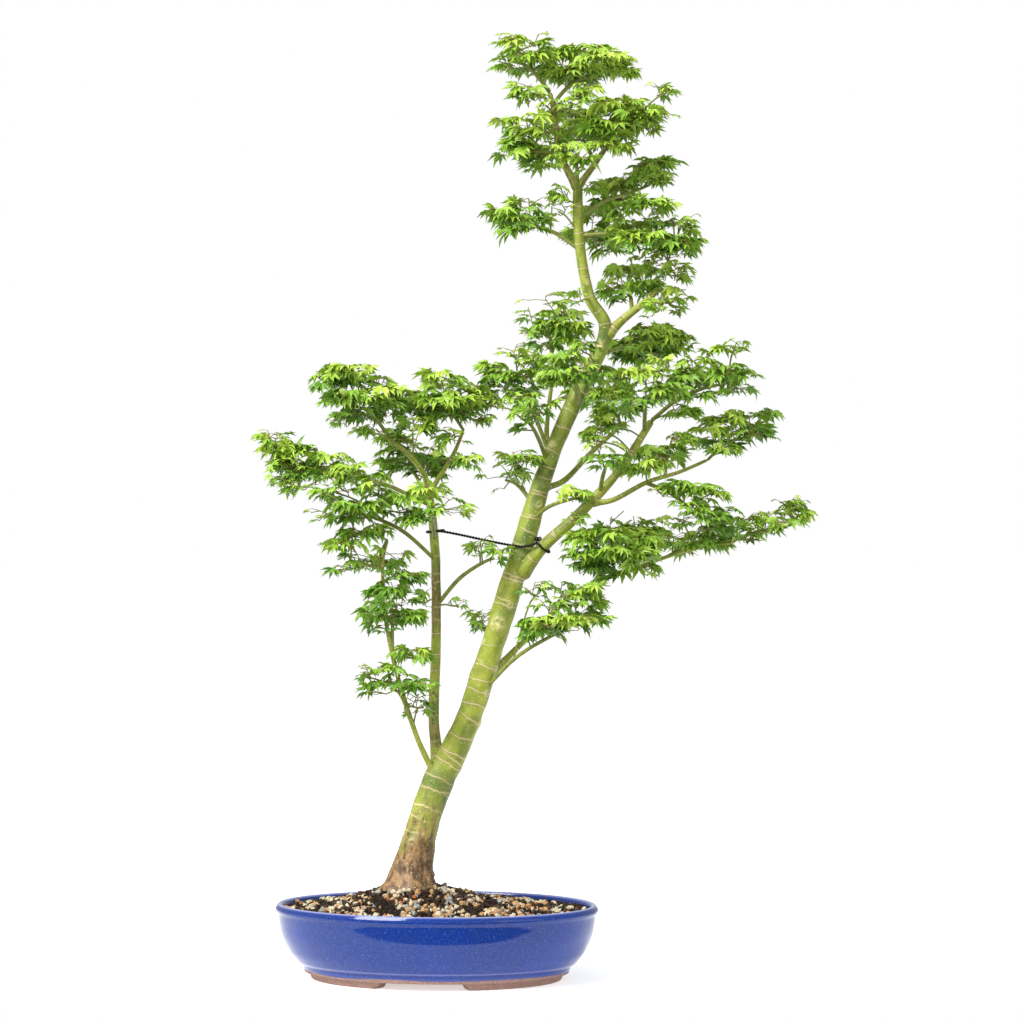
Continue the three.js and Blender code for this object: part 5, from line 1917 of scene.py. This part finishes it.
@dataclass
class Studio:
    """A pale floor, a bright surround, a soft key from the upper left and a level camera.

    Attributes:
        eye: the camera's place about the pot's middle, in millimetres.
        lens, sensor: its focal length and its sensor's width, in millimetres.
        floor_wide: how far the floor reaches, in metres.
        sheet_edge: how far in front of the pot's middle it begins, in millimetres.
        ambient: strength of the surround as a light.
        room: strength of its dark part, where -y > room_side * |x| and z < room_top in the light's direction.
        aim: what the lamps look at, in metres.
        lamps: the lights.
    """

    eye: Triple = (86.8, -4000.0, 536.0)
    lens: float = 122.3
    sensor: float = 36.0
    floor_wide: float = 30.0
    sheet_edge: float = 240.0
    ambient: float = 0.55
    room: float = 0.03
    room_side: float = 0.55
    room_top: float = 0.06
    aim: Triple = (0, 0, 0.55)
    lamps: tuple[Lamp, ...] = (
        Lamp("key", (-2.2, -2.0, 3.2), size=1.8, power=200),
        Lamp("fill", (2.6, -2.6, 1.6), size=2.4, power=26),
        Lamp("front", (-0.3, -3.2, 0.5), size=3.0, power=46, mirrored=False),
    )

    def camera(self) -> None:
        """A level camera that looks along +Y."""
        data = bpy.data.cameras.new("camera")
        data.lens = self.lens
        data.sensor_width = self.sensor
        data.clip_end = 100
        camera = placed("camera", data)
        camera.location = Vector(in_frame(np.array(self.eye)))
        camera.rotation_euler = (math.pi / 2, 0, 0)
        bpy.context.scene.camera = camera

    def floor(self) -> None:
        """A wide pale sheet under the pot, whose near edge lies just in front of it, as the glaze mirrors."""
        wide, near = self.floor_wide, (POT_MIDDLE[1] - self.sheet_edge) * MM
        corners = np.array([[-wide, near, 0], [wide, near, 0], [wide, wide, 0], [-wide, wide, 0]])
        mesh = bpy.data.meshes.new("floor")
        mesh.from_pydata(corners.tolist(), [], [(0, 1, 2, 3)])
        mesh.materials.append(Sheet("pale_sheet", "#ffffff", "#fdfdfd", 400, 400, 0.0, 0.9).material())
        placed("floor", mesh)

    def surround(self) -> None:
        """A white surround to the camera, dimmer as a light, and dark low in front where the room lies."""
        world = bpy.data.worlds.new("surround")
        world.use_nodes = True
        tree = world.node_tree
        tree.nodes.clear()
        way = add(tree, "TexCoord").outputs["Generated"]
        axes = add(tree, "SeparateXYZ", None, {0: way}).outputs
        aside = add(tree, "Math", {"operation": "ABSOLUTE"}, {0: axes[0]}).outputs[0]
        spread = add(tree, "Math", {"operation": "MULTIPLY_ADD", 1: self.room_side},
                     {0: aside, 2: axes[1]}).outputs[0]
        front = add(tree, "MapRange", {1: 0.0, 2: -self.room_top}, {0: spread}).outputs[0]
        low = add(tree, "MapRange", {1: self.room_top, 2: 0.0}, {0: axes[2]}).outputs[0]
        room = add(tree, "Math", {"operation": "MULTIPLY"}, {0: front, 1: low}).outputs[0]
        light = add(tree, "MapRange", {3: self.ambient, 4: self.room}, {0: room}).outputs[0]
        seen = add(tree, "LightPath").outputs["Is Camera Ray"]
        strength = add(tree, "MapRange", {4: 1.0}, {0: seen, 3: light}).outputs[0]
        lit = add(tree, "Background", {"Color": (1, 1, 1, 1)}, {"Strength": strength}).outputs[0]
        add(tree, "OutputWorld", None, {"Surface": lit})
        bpy.context.scene.world = world

    def build(self) -> None:
        """Camera, floor, surround and lights."""
        self.camera()
        self.floor()
        self.surround()
        for lamp in self.lamps:
            lamp.build(self.aim)
        bpy.context.scene.view_settings.view_transform = "Standard"


def main() -> None:
    """Builds the plant from the pot up, then the studio round it."""
    logging.basicConfig(level=logging.INFO, format="%(name)s: %(message)s")
    Studio().build()
    pot = Pot()
    pot.build()
    Soil(pot).build()
    Limbs().build()
    Tie().build()
    Foliage().build()


if __name__ == "__main__":
    main()
